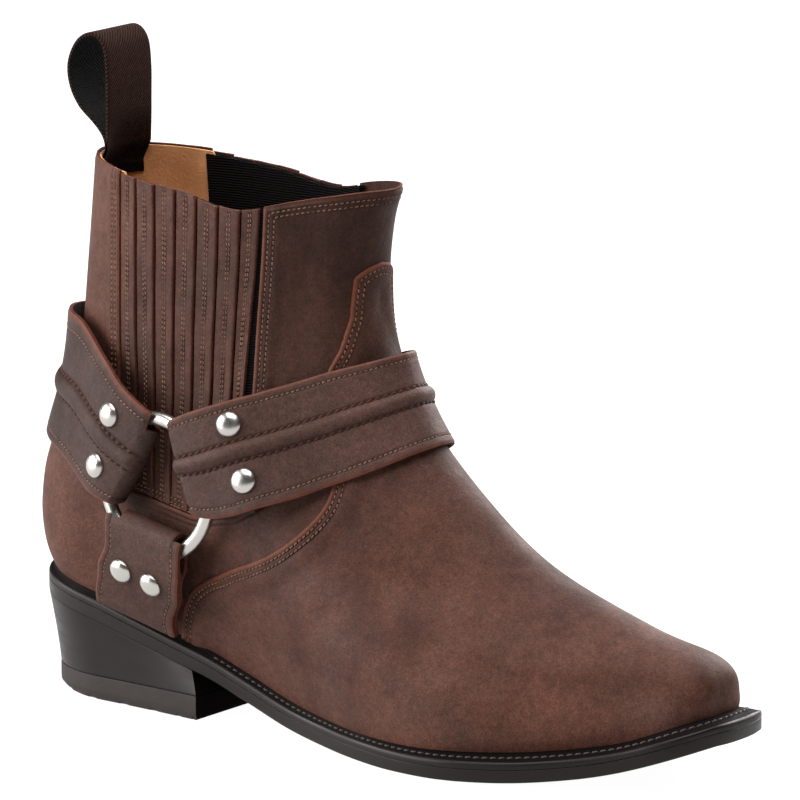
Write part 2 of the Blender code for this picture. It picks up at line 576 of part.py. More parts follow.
def build_harness():
    under = 2.1                                     # how far the folded end runs back, in rows
    fold = [-under, -under * 0.5, -0.6, -0.35, -0.1, 0.15, 0.4]
    run = fold + [1.0, 1.6, 2.2, 2.8, 3.5, 4.4, 5.3, 6.2, 7.0]
    for name, table, notch, turn in (("front", STRAP_FRONT, 0.8, 1), ("back", STRAP_BACK, 0.85, -1)):
        across = (0.0, *RIDGE_AT, notch, 1.0)
        end = len(table) - 1
        def mid(u, w, table=table, end=end):
            one, two = strap_mid(table, u, w, False), strap_mid(table, 2 * end - u, w, True)
            return np.where((np.asarray(u) <= end)[..., None], one, two)
        ridge = lambda u, w: RIDGE if w in RIDGE_AT[1:3] and 0.3 < u < 2 * end - 0.3 else 0.0
        ribbon("strap_" + name, mid, run + [2 * end - u for u in run[-2::-1]], across, ridge,
               (0, notch), turn, end)
    for side, flip in (("outer", False), ("inner", True)):
        mid = lambda u, w: strap_mid(STRAP_LOW, u, w, flip)
        ribbon("strap_low_" + side, mid, fold + [1.0, 1.6, 2.2, 2.8, 3.4, 3.97], (0.0, 0.2, 0.9, 1.0),
               lambda u, w: 0.0, (0.2, 0.9))
        c, axis = ring_frame(flip)
        torus("ring_" + side, c, axis, RING, WIRE)
        for strap, table in (("front", STRAP_FRONT), ("back", STRAP_BACK), ("low", STRAP_LOW)):
            for k, (u, w) in enumerate(RIVETS[strap], 1):
                mid = lambda u, w: strap_mid(table, u, w, flip)
                at, n = mid(u, w), strap_normal(mid, u, w)
                n = n if np.dot(n, axis) > 0 else -n
                du, dw = (g.ravel() for g in np.meshgrid(np.linspace(-0.6, 0.6, 13), np.linspace(-0.18, 0.18, 13)))
                near = mid(u + du, np.clip(w + dw, 0, 1)) - at
                high = near @ n
                flat = np.linalg.norm(near - high[:, None] * n, axis=1) < RIVET_R + 0.6
                dome("rivet_%s_%s_%d" % (strap, side, k), at + n * (high[flat].max() + STRAP / 2 + 0.2), n,
                     RIVET_R, RIVET_H)


def build_loop():
    # Pull loop: webbing folded to a loop, both ends inside the collar at the back.
    path = np.array(LOOP, float)
    k = np.linspace(0, len(path) - 1, 24)
    line = smooth(np.arange(len(path)), path, k)
    run = np.gradient(line, axis=0)
    side = np.column_stack([-run[:, 1], run[:, 0]])
    side = side / np.linalg.norm(side, axis=1, keepdims=True)
    def sheet_at(d):
        p = line + side * d
        return np.stack([np.column_stack([p[:, 0], y + 0 * p[:, 0], p[:, 1]])
                         for y in (-LOOP_WIDTH / 2, LOOP_WIDTH / 2)], 1).reshape(-1, 3)
    thicken("pull_loop", sheet_at(LOOP_THICK / 2), sheet_at(-LOOP_THICK / 2), grid_faces(len(k), 2), WEB, 0.9)


for old in list(bpy.data.objects):
    bpy.data.objects.remove(old)
build_sole()
build_upper()
build_overlays()
build_harness()
build_loop()

# Metres, with the middle of the whole boot over the origin.
parts = [o for o in bpy.context.scene.objects if o.type == "MESH"]
every = np.array([v.co[:] for o in parts for v in o.data.vertices])
shift = np.array([*((every.min(0) + every.max(0)) / 2)[:2], 0.0])
for o in parts:
    for v in o.data.vertices:
        v.co = [(c - d) * MM for c, d in zip(v.co, shift)]
print("shift", shift, "size", every.max(0) - every.min(0))
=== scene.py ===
import math

import bpy
import numpy as np
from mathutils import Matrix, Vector
from mathutils.kdtree import KDTree


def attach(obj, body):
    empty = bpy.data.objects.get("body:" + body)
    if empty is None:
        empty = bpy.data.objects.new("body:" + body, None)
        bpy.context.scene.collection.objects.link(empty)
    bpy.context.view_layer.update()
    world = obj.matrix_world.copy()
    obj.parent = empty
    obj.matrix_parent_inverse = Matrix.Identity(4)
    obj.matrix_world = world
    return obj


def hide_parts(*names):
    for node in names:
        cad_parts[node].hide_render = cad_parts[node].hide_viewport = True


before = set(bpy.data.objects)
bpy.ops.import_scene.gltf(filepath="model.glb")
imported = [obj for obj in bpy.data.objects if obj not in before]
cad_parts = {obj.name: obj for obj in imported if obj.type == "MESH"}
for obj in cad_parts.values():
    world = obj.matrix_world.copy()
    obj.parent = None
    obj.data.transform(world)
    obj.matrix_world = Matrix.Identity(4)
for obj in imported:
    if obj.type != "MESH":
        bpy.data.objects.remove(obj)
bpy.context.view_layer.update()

# Upper wall: the shell pulled over the last, backing leather with a tan lining sewn inside.
# Sizes are in millimetres, x from heel to toe, y negative on the outer side, z up,
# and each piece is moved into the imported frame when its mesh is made.
FRAME_AT = np.array([140.01883411, -0.82209015, 0.0])
SEAT = [
    (-6, 45.5), (34, 38), (52, 32.8), (69, 27.8), (85, 23.2), (100, 18), (120, 12),
    (146, 8.6), (168, 7.5), (204, 7.5), (233, 9.4), (259, 14.0), (292, 24.4),
]
MIDDLE = [(-6, 0), (60, 0), (120, -1.0), (190, -1.5), (250, 1.0), (300, 3.0)]
RING_COLUMNS = ("back_x back_z front_x front_z follow dip heel waist_out waist_in ball_out ball_in "
                "toe back_round front_round square").split()
RINGS = [
    (-2.0, 45.2, 284.5, 22.1, 1.00, 0, 31.0, 28.5, 25, 43.5, 41.0, 19, 0.11, 0.060, 3.20),
    (-6.0, 54.0, 286, 31.8, 1.00, 0, 33.0, 31.5, 28, 46.5, 44.0, 20, 0.11, 0.065, 3.20),
    (-8.5, 63.0, 282, 42.5, 0.90, 0, 33.5, 33.0, 30, 46.5, 44.5, 19, 0.12, 0.090, 2.80),
    (-9.0, 72.0, 253, 51.8, 0.75, 0, 33.5, 34.0, 32, 45.0, 44.0, 26, 0.14, 0.200, 2.20),
    (-7.5, 84.0, 212, 68.0, 0.50, 0, 33.0, 34.0, 33, 41.0, 41.0, 31, 0.17, 0.330, 2.00),
    (-3.0, 98.0, 181, 90.0, 0.25, 0, 32.0, 33.5, 33, 36.5, 36.5, 32, 0.21, 0.400, 2.00),
    (3.0, 113.0, 156, 115.0, 0.10, 0, 31.0, 33.0, 33, 33.0, 33.0, 32, 0.26, 0.450, 2.00),
    (8.0, 133.0, 141, 141.0, 0.00, 2, 30.5, 32.0, 32, 31.5, 31.5, 31, 0.32, 0.480, 2.00),
    (11.0, 165.0, 138, 169.0, 0.00, 4, 30.0, 31.0, 31, 31.0, 31.0, 31, 0.36, 0.480, 2.05),
    (14.0, 201.0, 142.5, 200.0, 0.00, 9, 30.0, 30.0, 30, 31.0, 31.0, 31, 0.38, 0.480, 2.10),
]
WIDTHS_AT = np.array([0, 0.12, 0.37, 0.68, 0.93, 1.0])
COLLAR_DIP = [(0, 0), (0.2, 0.25), (0.45, 0.6), (0.66, 1.0), (0.78, 0.62), (1, 0)]
WALL = 1.8
WALL_OUT = 0.95                  # its outside lies this far inside the last's face, under the panels
ROUNDS, STEPS = 61, 144          # rows of points up the wall, and points round each row


def smooth(xs, ys, x):
    """Smooth curve through the rows of a table."""
    xs, ys, x = np.asarray(xs, float), np.asarray(ys, float), np.asarray(x, float)
    many = ys.ndim > 1
    h = np.diff(xs)
    hh = h[:, None] if many else h
    d = np.diff(ys, axis=0) / hh
    m = np.empty_like(ys)
    m[1:-1] = (d[:-1] * hh[1:] + d[1:] * hh[:-1]) / (hh[1:] + hh[:-1])
    m[0], m[-1] = 1.5 * d[0] - 0.5 * m[1], 1.5 * d[-1] - 0.5 * m[-2]
    i = np.clip(np.searchsorted(xs, x, side="right") - 1, 0, len(xs) - 2)
    w, hi = (x - xs[i]) / h[i], h[i]
    if many:
        w, hi = w[..., None], hi[..., None]
    return ((1 + 2 * w) * (1 - w) ** 2 * ys[i] + w * (1 - w) ** 2 * hi * m[i]
            + w * w * (3 - 2 * w) * ys[i + 1] + w * w * (w - 1) * hi * m[i + 1])


def through(table, x):
    """Second column of a table at x, held at the table's ends."""
    return smooth([r[0] for r in table], [r[1] for r in table], np.clip(x, table[0][0], table[-1][0]))


def ease(low, high, x):
    """A soft step from 0 at low to 1 at high."""
    q = np.clip((np.asarray(x, float) - low) / (high - low), 0, 1)
    return q * q * (3 - 2 * q)


def round_end(d, n):
    """Rounds the end of an outline; d counts from the end, and a larger n is squarer."""
    return (1 - (1 - np.clip(d, 0, 1)) ** n) ** (1 / n)


def half_width(r, s, side):
    """Half width of an outline at share s from its back to its front."""
    waist, ball = (r["waist_out"], r["ball_out"]) if side < 0 else (r["waist_in"], r["ball_in"])
    tip = r["toe"] - 0.1 * (ball - r["toe"])
    ys = np.stack([v + 0 * s for v in (r["heel"], r["heel"], waist, ball, r["toe"], tip)])
    h = np.diff(WIDTHS_AT)
    d = [(ys[i + 1] - ys[i]) / h[i] for i in range(5)]
    mid = [(d[i] * h[i + 1] + d[i + 1] * h[i]) / (h[i] + h[i + 1]) for i in range(1, 4)]
    m = np.stack([0 * d[0], 0 * d[0], *mid, d[4]])
    i = np.clip(np.searchsorted(WIDTHS_AT, s, side="right") - 1, 0, 4)
    i = np.broadcast_to(i, ys[0].shape)
    take = lambda table, k: np.take_along_axis(table, k[None], 0)[0]
    q = (s - WIDTHS_AT[i]) / h[i]
    base = ((1 + 2 * q) * (1 - q) ** 2 * take(ys, i) + q * (1 - q) ** 2 * h[i] * take(m, i)
            + q * q * (3 - 2 * q) * take(ys, i + 1) + q * q * (q - 1) * h[i] * take(m, i + 1))
    return base * round_end(s / r["back_round"], 2.1) * round_end((1 - s) / r["front_round"], r["square"])


def plan(r, s, side):
    """One side of an outline: x and y at share s from its back."""
    x = r["back_x"] + (r["front_x"] - r["back_x"]) * s
    return x, through(MIDDLE, x) + side * half_width(r, s, side)


def form(t, a):
    """The last: ring share t from feather edge to collar, share a round the ring from the back."""
    t, a = np.broadcast_arrays(np.asarray(t, float), np.mod(np.asarray(a, float), 1.0))
    s = 0.5 - 0.5 * np.cos(2 * np.pi * a)
    v = smooth(np.linspace(0, 1, len(RINGS)), np.array(RINGS, float), t)
    r = {c: v[..., i] for i, c in enumerate(RING_COLUMNS)}
    x, y_out = plan(r, s, -1)
    y_in = plan(r, s, 1)[1]
    back_x, _, front_x = RINGS[0][:3]
    ends = through(SEAT, back_x), through(SEAT, front_x)
    sag = through(SEAT, back_x + (front_x - back_x) * s) - (ends[0] + (ends[1] - ends[0]) * s)
    level = r["back_z"] + (r["front_z"] - r["back_z"]) * s
    z = level + r["follow"] * sag - r["dip"] * through(COLLAR_DIP, s)
    return np.stack([x, np.where(a <= 0.5, y_out, y_in), z], -1)


def unit(v):
    """Directions of length 1."""
    return v / np.linalg.norm(v, axis=-1, keepdims=True)


def skin(t, a, off=0.0):
    """A point of the last moved out along its own normal, and that normal."""
    t, a = np.asarray(t, float), np.asarray(a, float)
    across = form(t, a + 2e-3) - form(t, a - 2e-3)
    along = form(np.clip(t + 1e-3, 0, 1), a) - form(np.clip(t - 1e-3, 0, 1), a)
    n = unit(np.cross(across, along))
    return form(t, a) + n * np.asarray(off, float)[..., None], n


def grid_faces(rows, cols, wrap=False):
    """Faces of a grid of points, whose rows close on themselves where it wraps."""
    span = cols if wrap else cols - 1
    r, c = np.meshgrid(np.arange(rows - 1), np.arange(span), indexing="ij")
    r, c, d = r.ravel(), c.ravel(), (c.ravel() + 1) % cols
    return np.stack([r * cols + c, r * cols + d, (r + 1) * cols + d, (r + 1) * cols + c], -1).tolist()


def piece(name, points, faces, finishes, stands_for=(), pick=None, tones=None, crisp=40):
    """One mesh of the boot, faces outward, riding on the boot's only body."""
    points = (np.asarray(points, float) - FRAME_AT) * 0.001
    tri = np.array([(f[0], f[i], f[i + 1]) for f in faces for i in range(1, len(f) - 1)])
    a, b, c = (points[tri[:, k]] for k in range(3))
    if np.sum(a * np.cross(b, c)) < 0:
        faces = [f[::-1] for f in faces]
    mesh = bpy.data.meshes.new(name)
    mesh.from_pydata(points.tolist(), [], faces)
    for m in finishes:
        mesh.materials.append(m)
    if pick is not None:
        mesh.polygons.foreach_set("material_index", np.asarray(pick, np.int32))
    for key, values in (tones or {}).items():
        layer = mesh.attributes.new(key, "FLOAT", "POINT")
        layer.data.foreach_set("value", np.asarray(values, np.float32))
    mesh.shade_smooth()
    mesh.set_sharp_from_angle(angle=math.radians(crisp))
    obj = bpy.data.objects.new(name, mesh)
    bpy.context.scene.collection.objects.link(obj)
    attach(obj, "root")
    if stands_for:
        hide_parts(*stands_for)


def finish(name, **sockets):
    """A material with its own shader, constant values set on the shader's sockets."""
    m = bpy.data.materials.new(name)
    m.use_nodes = True
    body = m.node_tree.nodes["Principled BSDF"]
    for key, value in sockets.items():
        body.inputs[key.replace("_", " ")].default_value = value
    return m, body


def add(m, kind, values=None, **settings):
    """A node in a material; a socket given as a value is linked."""
    n = m.node_tree.nodes.new("ShaderNode" + kind)
    for key, value in settings.items():
        setattr(n, key, value)
    for key, value in (values or {}).items():
        if isinstance(value, bpy.types.NodeSocket):
            m.node_tree.links.new(value, n.inputs[key])
        else:
            n.inputs[key].default_value = value
    return n


def ramp(m, factor, *stops):
    """Colour between some stops."""
    n = add(m, "ValToRGB", {"Fac": factor})
    while len(n.color_ramp.elements) < len(stops):
        n.color_ramp.elements.new(0.5)
    for e, (at, colour) in zip(n.color_ramp.elements, stops):
        e.position, e.color = at, (*colour, 1)
    return n.outputs["Color"]


def maths(m, how, one, two=0.0):
    n = add(m, "Math", {0: one, 1: two}, operation=how)
    return n.outputs[0]


def tone(m, factor, one, two, how="MIX"):
    n = add(m, "Mix", data_type="RGBA", blend_type=how)
    for socket, value in zip((n.inputs[0], n.inputs[6], n.inputs[7]), (factor, one, two)):
        if isinstance(value, bpy.types.NodeSocket):
            m.node_tree.links.new(value, socket)
        else:
            socket.default_value = value if isinstance(value, float) else (*value, 1)
    return n.outputs[2]


def noise(m, where, scale, detail=3.0, rough=0.55, warp=0.0):
    n = add(m, "TexNoise", {"Vector": where, "Scale": scale, "Detail": detail, "Roughness": rough,
                            "Distortion": warp})
    return n.outputs["Fac"]


def plug(m, body, **links):
    """Links sockets to the shader's own."""
    for key, socket in links.items():
        m.node_tree.links.new(socket, body.inputs[key.replace("_", " ")])


def bump(m, height, depth, strength):
    n = add(m, "Bump", {"Height": height, "Distance": depth * 0.001, "Strength": strength})
    return n.outputs["Normal"]


def place(m):
    """Where a point lies in the boot's own frame."""
    return add(m, "TexCoord").outputs["Object"]


def sheet_faces(faces, n):
    """Faces of a sheet, of its other side n points on, and of the strip along its border."""
    used = {(i, j) for f in faces for i, j in zip(f, f[1:] + f[:1])}
    border = [[j, i, i + n, j + n] for i, j in used if (j, i) not in used]
    return faces, [[i + n for i in f[::-1]] for f in faces], border


LINING, lining_body = finish("tan_lining", Roughness=0.75, Specular_IOR_Level=0.25)
spot = place(LINING)
tan_colour = ramp(LINING, noise(LINING, spot, 45, 4),
                  (0.3, (0.45, 0.2, 0.075)), (0.55, (0.68, 0.33, 0.145)), (0.75, (0.82, 0.46, 0.24)))
plug(LINING, lining_body, Base_Color=tan_colour, Normal=bump(LINING, noise(LINING, spot, 900, 4), 0.35, 0.6))

t, a = (g.ravel() for g in np.meshgrid(np.linspace(0, 1, ROUNDS), np.arange(STEPS) / STEPS, indexing="ij"))
t = t * (0.998 - 0.036 * ease(0.155, 0.168, np.minimum(a, 1 - a)))    # its top stays under the collar's edge
outside, inside = skin(t, a, -WALL_OUT)[0], skin(t, a, -WALL)[0]
front, back, border = sheet_faces(grid_faces(ROUNDS, STEPS, True), len(outside))
piece("upper_lining", np.vstack([outside, inside]), front + back + border, [LINING], ["upper"])

# Leather of the upper: oiled pull-up hide, dark red-brown with grey and pale clouds,
# a fine grain, paler where it is pulled over an edge and darker along the seams.
RUBBED = (0.135, 0.04, 0.021)    # an edge rubbed down to its red fibres


def painted(m, name):
    """A tone laid on the mesh point by point."""
    return add(m, "Attribute", attribute_name=name).outputs["Fac"]


def rescale(m, value, low, high, to_low=0.0, to_high=1.0):
    """A value taken from the range low to high to another range."""
    n = add(m, "MapRange", {"Value": value, "From Min": low, "From Max": high,
                            "To Min": to_low, "To Max": to_high})
    return n.outputs[0]


def weigh(m, *parts):
    """Sum of values, each with its weight."""
    total = 0.0
    for value, weight in parts:
        total = maths(m, "ADD", total, maths(m, "MULTIPLY", value, weight))
    return total


def leather(name, deep, mid, pale, grey, rough):
    """Hide with clouds of tone, flecks, a pebbled grain, rubbed edges, dark seams and a tone per point that
    holds painted shade and painted light.
    """
    m, body = finish(name, Specular_IOR_Level=0.12)
    spot = place(m)
    cloud = noise(m, spot, 15, 3, 0.5, 0.6)
    fine = noise(m, spot, 70, 5, 0.62, 0.3)
    fleck = noise(m, spot, 380, 4, 0.65)
    nap = noise(m, spot, 1500, 3, 0.7)
    colour = ramp(m, weigh(m, (cloud, 0.6), (fine, 0.4)), (0.36, deep), (0.5, mid), (0.66, pale))
    dull = rescale(m, noise(m, spot, 24, 3, 0.55, 0.9), 0.5, 0.7)
    colour = tone(m, maths(m, "MULTIPLY", dull, 0.45), colour, grey)
    # per point: the hide's own tone, with painted shade and painted light where a piece is darkened or
    # lightened for how it faces the lamps
    colour = tone(m, 1.0, colour, painted(m, "tone_and_painted_shade"), "MULTIPLY")
    for grain, low, high in ((fleck, 0.76, 1.24), (nap, 0.55, 1.45)):
        colour = tone(m, 1.0, colour, rescale(m, grain, 0.28, 0.72, low, high), "MULTIPLY")
    rub = maths(m, "ADD", maths(m, "MULTIPLY", fleck, 0.9), 0.2)
    colour = tone(m, maths(m, "MULTIPLY", painted(m, "edge"), rub), colour, RUBBED)
    colour = tone(m, maths(m, "MULTIPLY", painted(m, "seam"), 0.6), colour, tuple(c * 0.3 for c in deep))
    pebble = add(m, "TexVoronoi", {"Vector": spot, "Scale": 900.0, "Randomness": 1.0}, feature="SMOOTH_F1")
    height = weigh(m, (pebble.outputs["Distance"], 0.45), (fleck, 0.9), (nap, 0.35),
                   (noise(m, spot, 120, 3), 0.4))
    gloss = rescale(m, fine, 0.25, 0.75, rough + 0.09, rough - 0.07)
    plug(m, body, Base_Color=colour, Roughness=gloss, Normal=bump(m, height, 0.26, 0.6))
    return m


def cut_edge(name, dark, light):
    """Raw cut side of the leather: reddish fibres."""
    m, body = finish(name, Roughness=0.92, Specular_IOR_Level=0.15)
    fibre = noise(m, place(m), 900, 4, 0.7)
    plug(m, body, Base_Color=ramp(m, fibre, (0.3, dark), (0.7, light)), Normal=bump(m, fibre, 0.5, 0.9))
    return m


HIDE = leather("oiled_leather", (0.038, 0.0147, 0.0097), (0.060, 0.0235, 0.0155), (0.084, 0.0333, 0.0217),
               (0.040, 0.0218, 0.0165), 0.62)
HIDE_EDGE = cut_edge("leather_cut_edge", (0.045, 0.012, 0.007), (0.12, 0.034, 0.018))
UNDER, TOP = -0.85, 0.55         # underside and face of a panel over the last
LAP = 1.0                        # how much the vamp stands over what it laps


def travelled(line):
    """Length of a line up to each of its points."""
    return np.concatenate([[0], np.cumsum(np.linalg.norm(np.diff(line, axis=0), axis=1))])


def at_length(line, s, q):
    """Points of a line at the lengths q, where s is the length up to each of its own points."""
    return np.column_stack([np.interp(q, s, column) for column in line.T])


def resample(path, step):
    """A line of (t, a) points at even steps over the last."""
    s = travelled(form(path[:, 0], path[:, 1]))
    return at_length(path, s, np.linspace(0, s[-1], max(2, int(round(s[-1] / step)) + 1)))


def soften(path, times):
    """Rounds the corners of an evenly stepped line and keeps its ends."""
    path = path.copy()
    for _ in range(times):
        path[1:-1] = (path[:-2] + 2 * path[1:-1] + path[2:]) / 4
    return path


def inset(path, d):
    """A line of (t, a) points moved sideways over the leather by d, to the left of its run."""
    t, a, e = path[:, 0], path[:, 1], 1e-3
    side = np.cross(skin(t, a)[1], unit(np.gradient(form(t, a), axis=0))) * d
    pt = (form(np.clip(t + e, 0, 1), a) - form(t - e, a)) / (np.clip(t + e, 0, 1) - t + e)[:, None]
    pa = (form(t, a + e) - form(t, a - e)) / (2 * e)
    tt, aa, ta = (pt * pt).sum(1), (pa * pa).sum(1), (pt * pa).sum(1)
    bt, ba = (pt * side).sum(1), (pa * side).sum(1)
    det = tt * aa - ta * ta
    return path + np.column_stack([(aa * bt - ta * ba) / det, (tt * ba - ta * bt) / det])


def mirrored(path):
    """The same line on the inner side, run backwards."""
    return np.column_stack([path[::-1, 0], 1 - path[::-1, 1]])


def far_from(points, line):
    """Distance of each point from a line on the last."""
    line = form(line[:, 0], line[:, 1])
    tree = KDTree(len(line))
    for i, p in enumerate(line):
        tree.insert(p, i)
    tree.balance()
    return np.array([tree.find(p)[2] for p in points])


def creased(points, creases):
    """Height over a panel of its soft creases."""
    h = np.zeros(len(points))
    for middle, run, long, wide, deep in creases:
        run = unit(np.array(run))
        away = points - np.array(middle, float)
        along = away @ run
        across = np.linalg.norm(away - along[:, None] * run, axis=1)
        h -= deep * np.exp(-(along / long) ** 2 - (across / wide) ** 2)
    return h


def seam_relief(d, rows):
    """Height over a panel near its sewn edge: rounded edge, a groove under each row of thread."""
    h = -0.45 * np.exp(-(d / 0.45) ** 2)
    for r in rows:
        h = h - 0.24 * np.exp(-((d - r) / 0.5) ** 2)
    return h + 0.12 * np.exp(-((d - rows[0] * 0.45) / 0.6) ** 2)


def seam_tones(d, rows):
    edge = np.exp(-(d / 1.3) ** 2)
    seam = sum(np.exp(-((d - r) / 0.55) ** 2) for r in rows)
    return {"edge": edge, "seam": np.clip(seam, 0, 1)}


def merged(*grids):
    """Joins grids of points along their shared edges: points and faces."""
    points, faces, start = [], [], 0
    for g in grids:
        rows, cols = g.shape[:2]
        faces += [[i + start for i in f] for f in grid_faces(rows, cols)]
        points.append(g.reshape(-1, g.shape[-1]))
        start += rows * cols
    points = np.vstack(points)
    _, first, back = np.unique(points.round(7), axis=0, return_index=True, return_inverse=True)
    back = np.asarray(back).ravel()
    faces = [[int(back[i]) for i in f] for f in faces]
    return points[first], [f for f in faces if len(set(f)) == 4]


def slab(name, top, under, faces, finishes, stands_for=(), tones=None):
    """A sheet of leather: face, underside and the cut edge between them."""
    n = len(top)
    front, back, border = sheet_faces(faces, n)
    pick = [0] * (len(front) + len(back)) + [len(finishes) - 1] * len(border)
    tones = {"edge": np.zeros(n), "seam": np.zeros(n), "tone_and_painted_shade": np.ones(n), **(tones or {})}
    tones = {k: np.concatenate([v, v if k == "tone_and_painted_shade" else 0 * v]) for k, v in tones.items()}
    piece(name, np.vstack([top, under]), front + back + border, finishes, stands_for, pick, tones)


THREAD, thread_body = finish("brown_thread", Roughness=0.7, Specular_IOR_Level=0.1)
spot = place(THREAD)
thread_colour = ramp(THREAD, noise(THREAD, spot, 240, 2),
                     (0.3, (0.075, 0.035, 0.023)), (0.7, (0.18, 0.094, 0.064)))
plug(THREAD, thread_body, Base_Color=thread_colour,
     Normal=bump(THREAD, noise(THREAD, spot, 2600, 2), 0.12, 0.8))
# Each stitch hole is a dark disc of painted shade on the leather.
HOLE_SHADE, _ = finish("stitch_hole_shade", Base_Color=(0.008, 0.004, 0.003, 1), Roughness=0.9, Specular_IOR_Level=0.1)


class Sewing:
    """Rows of single stitches gathered into one mesh: thread that dips into a hole at each end, each hole a
    dark disc of painted shade.
    """
    def __init__(self, pitch=2.05, long=1.65, thick=0.3, slant=0.16):
        self.pitch, self.long, self.thick, self.slant = pitch, long, thick, slant
        self.points, self.faces, self.pick, self.count = [], [], [], 0

    def row(self, line, up):
        s = travelled(line)
        n = int(s[-1] / self.pitch)
        if n < 1:
            return
        middles, ends = (np.arange(n) + 0.5) * s[-1] / n, np.arange(n + 1) * s[-1] / n
        for at, is_thread in ((middles, True), (ends, False)):
            run = at_length(line, s, at + 0.3) - at_length(line, s, at - 0.3)
            self.lay(at_length(line, s, at), run, at_length(up, s, at), is_thread)

    def lay(self, at, run, up, is_thread):
        up = unit(up)
        run = unit(run - up * (run * up).sum(1, keepdims=True))
        side = np.cross(up, run)
        if is_thread:
            run, side = run + side * self.slant, side - run * self.slant
            rings = ((-1, 0.5), (-0.55, 0.98), (0.55, 0.98), (1, 0.5))
            shape = [(u * self.long / 2, r * self.thick * math.cos(g),
                      self.thick * (0.45 - 1.3 * u ** 4) + r * self.thick * math.sin(g))
                     for u, r in rings for g in np.arange(6) * math.pi / 3]
            faces = grid_faces(4, 6, True) + [[5, 4, 3, 2, 1, 0], list(range(18, 24))]
        else:
            r = self.thick * 1.4
            shape = [(r * math.cos(g), r * math.sin(g), 0.0) for g in np.arange(5) * math.pi * 0.4]
            shape.append((0, 0, 0.09))
            faces = [[k, (k + 1) % 5, 5] for k in range(5)] + [[4, 3, 2, 1, 0]]
        shape = np.array(shape)
        ways = np.stack([run, side, up], 1)
        p = at[:, None] + shape @ ways
        for k in range(len(at)):
            base = self.count + k * len(shape)
            self.faces += [[i + base for i in f] for f in faces]
        self.pick += [0 if is_thread else 1] * (len(faces) * len(at))
        self.points.append(p.reshape(-1, 3))
        self.count += len(at) * len(shape)

    def along(self, path, off):
        p, n = skin(path[:, 0], path[:, 1], off)
        self.row(p, n)

    def sewn(self, name, thread=THREAD):
        piece(name, np.vstack(self.points), self.faces, [thread, HOLE_SHADE], pick=self.pick, crisp=60)


# Side panels: elastic cloth covered with leather strips, sewn down by two rows each.
# The strips lie like pleats, each with its front edge a little over the next gap.
GORE = [
    (0.48, 0.165, 0.258), (0.62, 0.1714, 0.2884), (0.717, 0.174, 0.311), (0.77, 0.172, 0.320),
    (0.85, 0.167, 0.328), (0.905, 0.162, 0.330), (1.0, 0.150, 0.325),
]
JOIN = [(0.150, 0.497), (0.225, 0.502), (0.262, 0.530), (0.300, 0.575), (0.340, 0.610), (0.400, 0.660)]
STRIPS = 7
STRIP_GAP = 0.075                # open share between two strips
STRIP_ROWS = (0.44, 0.57)        # rows of thread, as shares of a strip's width
ROW_DEEP = 0.16                  # groove under a row
LEAN = 0.75                      # how much a strip's front edge stands over its rear edge
STRIP_UP = np.concatenate([np.linspace(0, 0.96, 90), [0.975, 0.988, 0.995, 1.0]])
STRIP_ACROSS = np.array([0, 0.03, 0.08, 0.16, 0.3, 0.42, 0.5, 0.59, 0.68, 0.78, 0.88, 0.95, 0.985, 1.0])
SIDES = (("outer", False), ("inner", True))


def woven(m, where, scale, warp, way, detail=2.0):
    """Bands of thread in woven cloth that lie one way."""
    n = add(m, "TexWave", {"Vector": where, "Scale": scale, "Distortion": warp, "Detail": detail},
            bands_direction=way)
    return n.outputs["Fac"]


ELASTIC, elastic_body = finish("black_elastic", Roughness=0.9, Specular_IOR_Level=0.05)
rib = woven(ELASTIC, place(ELASTIC), 330.0, 1.5, "Z")
plug(ELASTIC, elastic_body, Normal=bump(ELASTIC, rib, 0.5, 0.8),
     Base_Color=ramp(ELASTIC, rib, (0.1, (0.002, 0.002, 0.002)), (0.9, (0.009, 0.008, 0.008))))


def join_edge(a):
    """Height of the side panels' lower edge."""
    a = 0.5 - np.abs(0.5 - np.mod(a, 1.0))
    return np.interp(a, [r[0] for r in JOIN], [r[1] for r in JOIN])


def gore_edge(t, k):
    """Rear or front edge of the side panel at a height."""
    return smooth([r[0] for r in GORE], [r[k] for r in GORE], np.clip(t, 0.48, 1.0))


def gore_at(rise, share):
    """A place on the side panel: rise from its foot to the collar, share from its rear edge."""
    t = 0.5 + 0.5 * rise
    a = gore_edge(t, 1) + (gore_edge(t, 2) - gore_edge(t, 1)) * share
    low = join_edge(a)
    t = low + (1 - low) * rise
    return t, gore_edge(t, 1) + (gore_edge(t, 2) - gore_edge(t, 1)) * share


def strip_at(k, rise, w):
    """A place on strip k, w across it. The last strip narrows downwards and leaves elastic bare."""
    gap = STRIP_GAP * ease(0.03, 0.09, rise)
    bare = 0.26 * ease(0.0, 0.9, 1 - rise) + 0.14 if k == STRIPS - 1 else 0.0
    return gore_at(rise, (k + gap / 2 + w * (1 - gap - bare)) / STRIPS)


def on_side(a, flip):
    """The same place on the outer side, or flipped to the inner side."""
    return 1 - a if flip else a


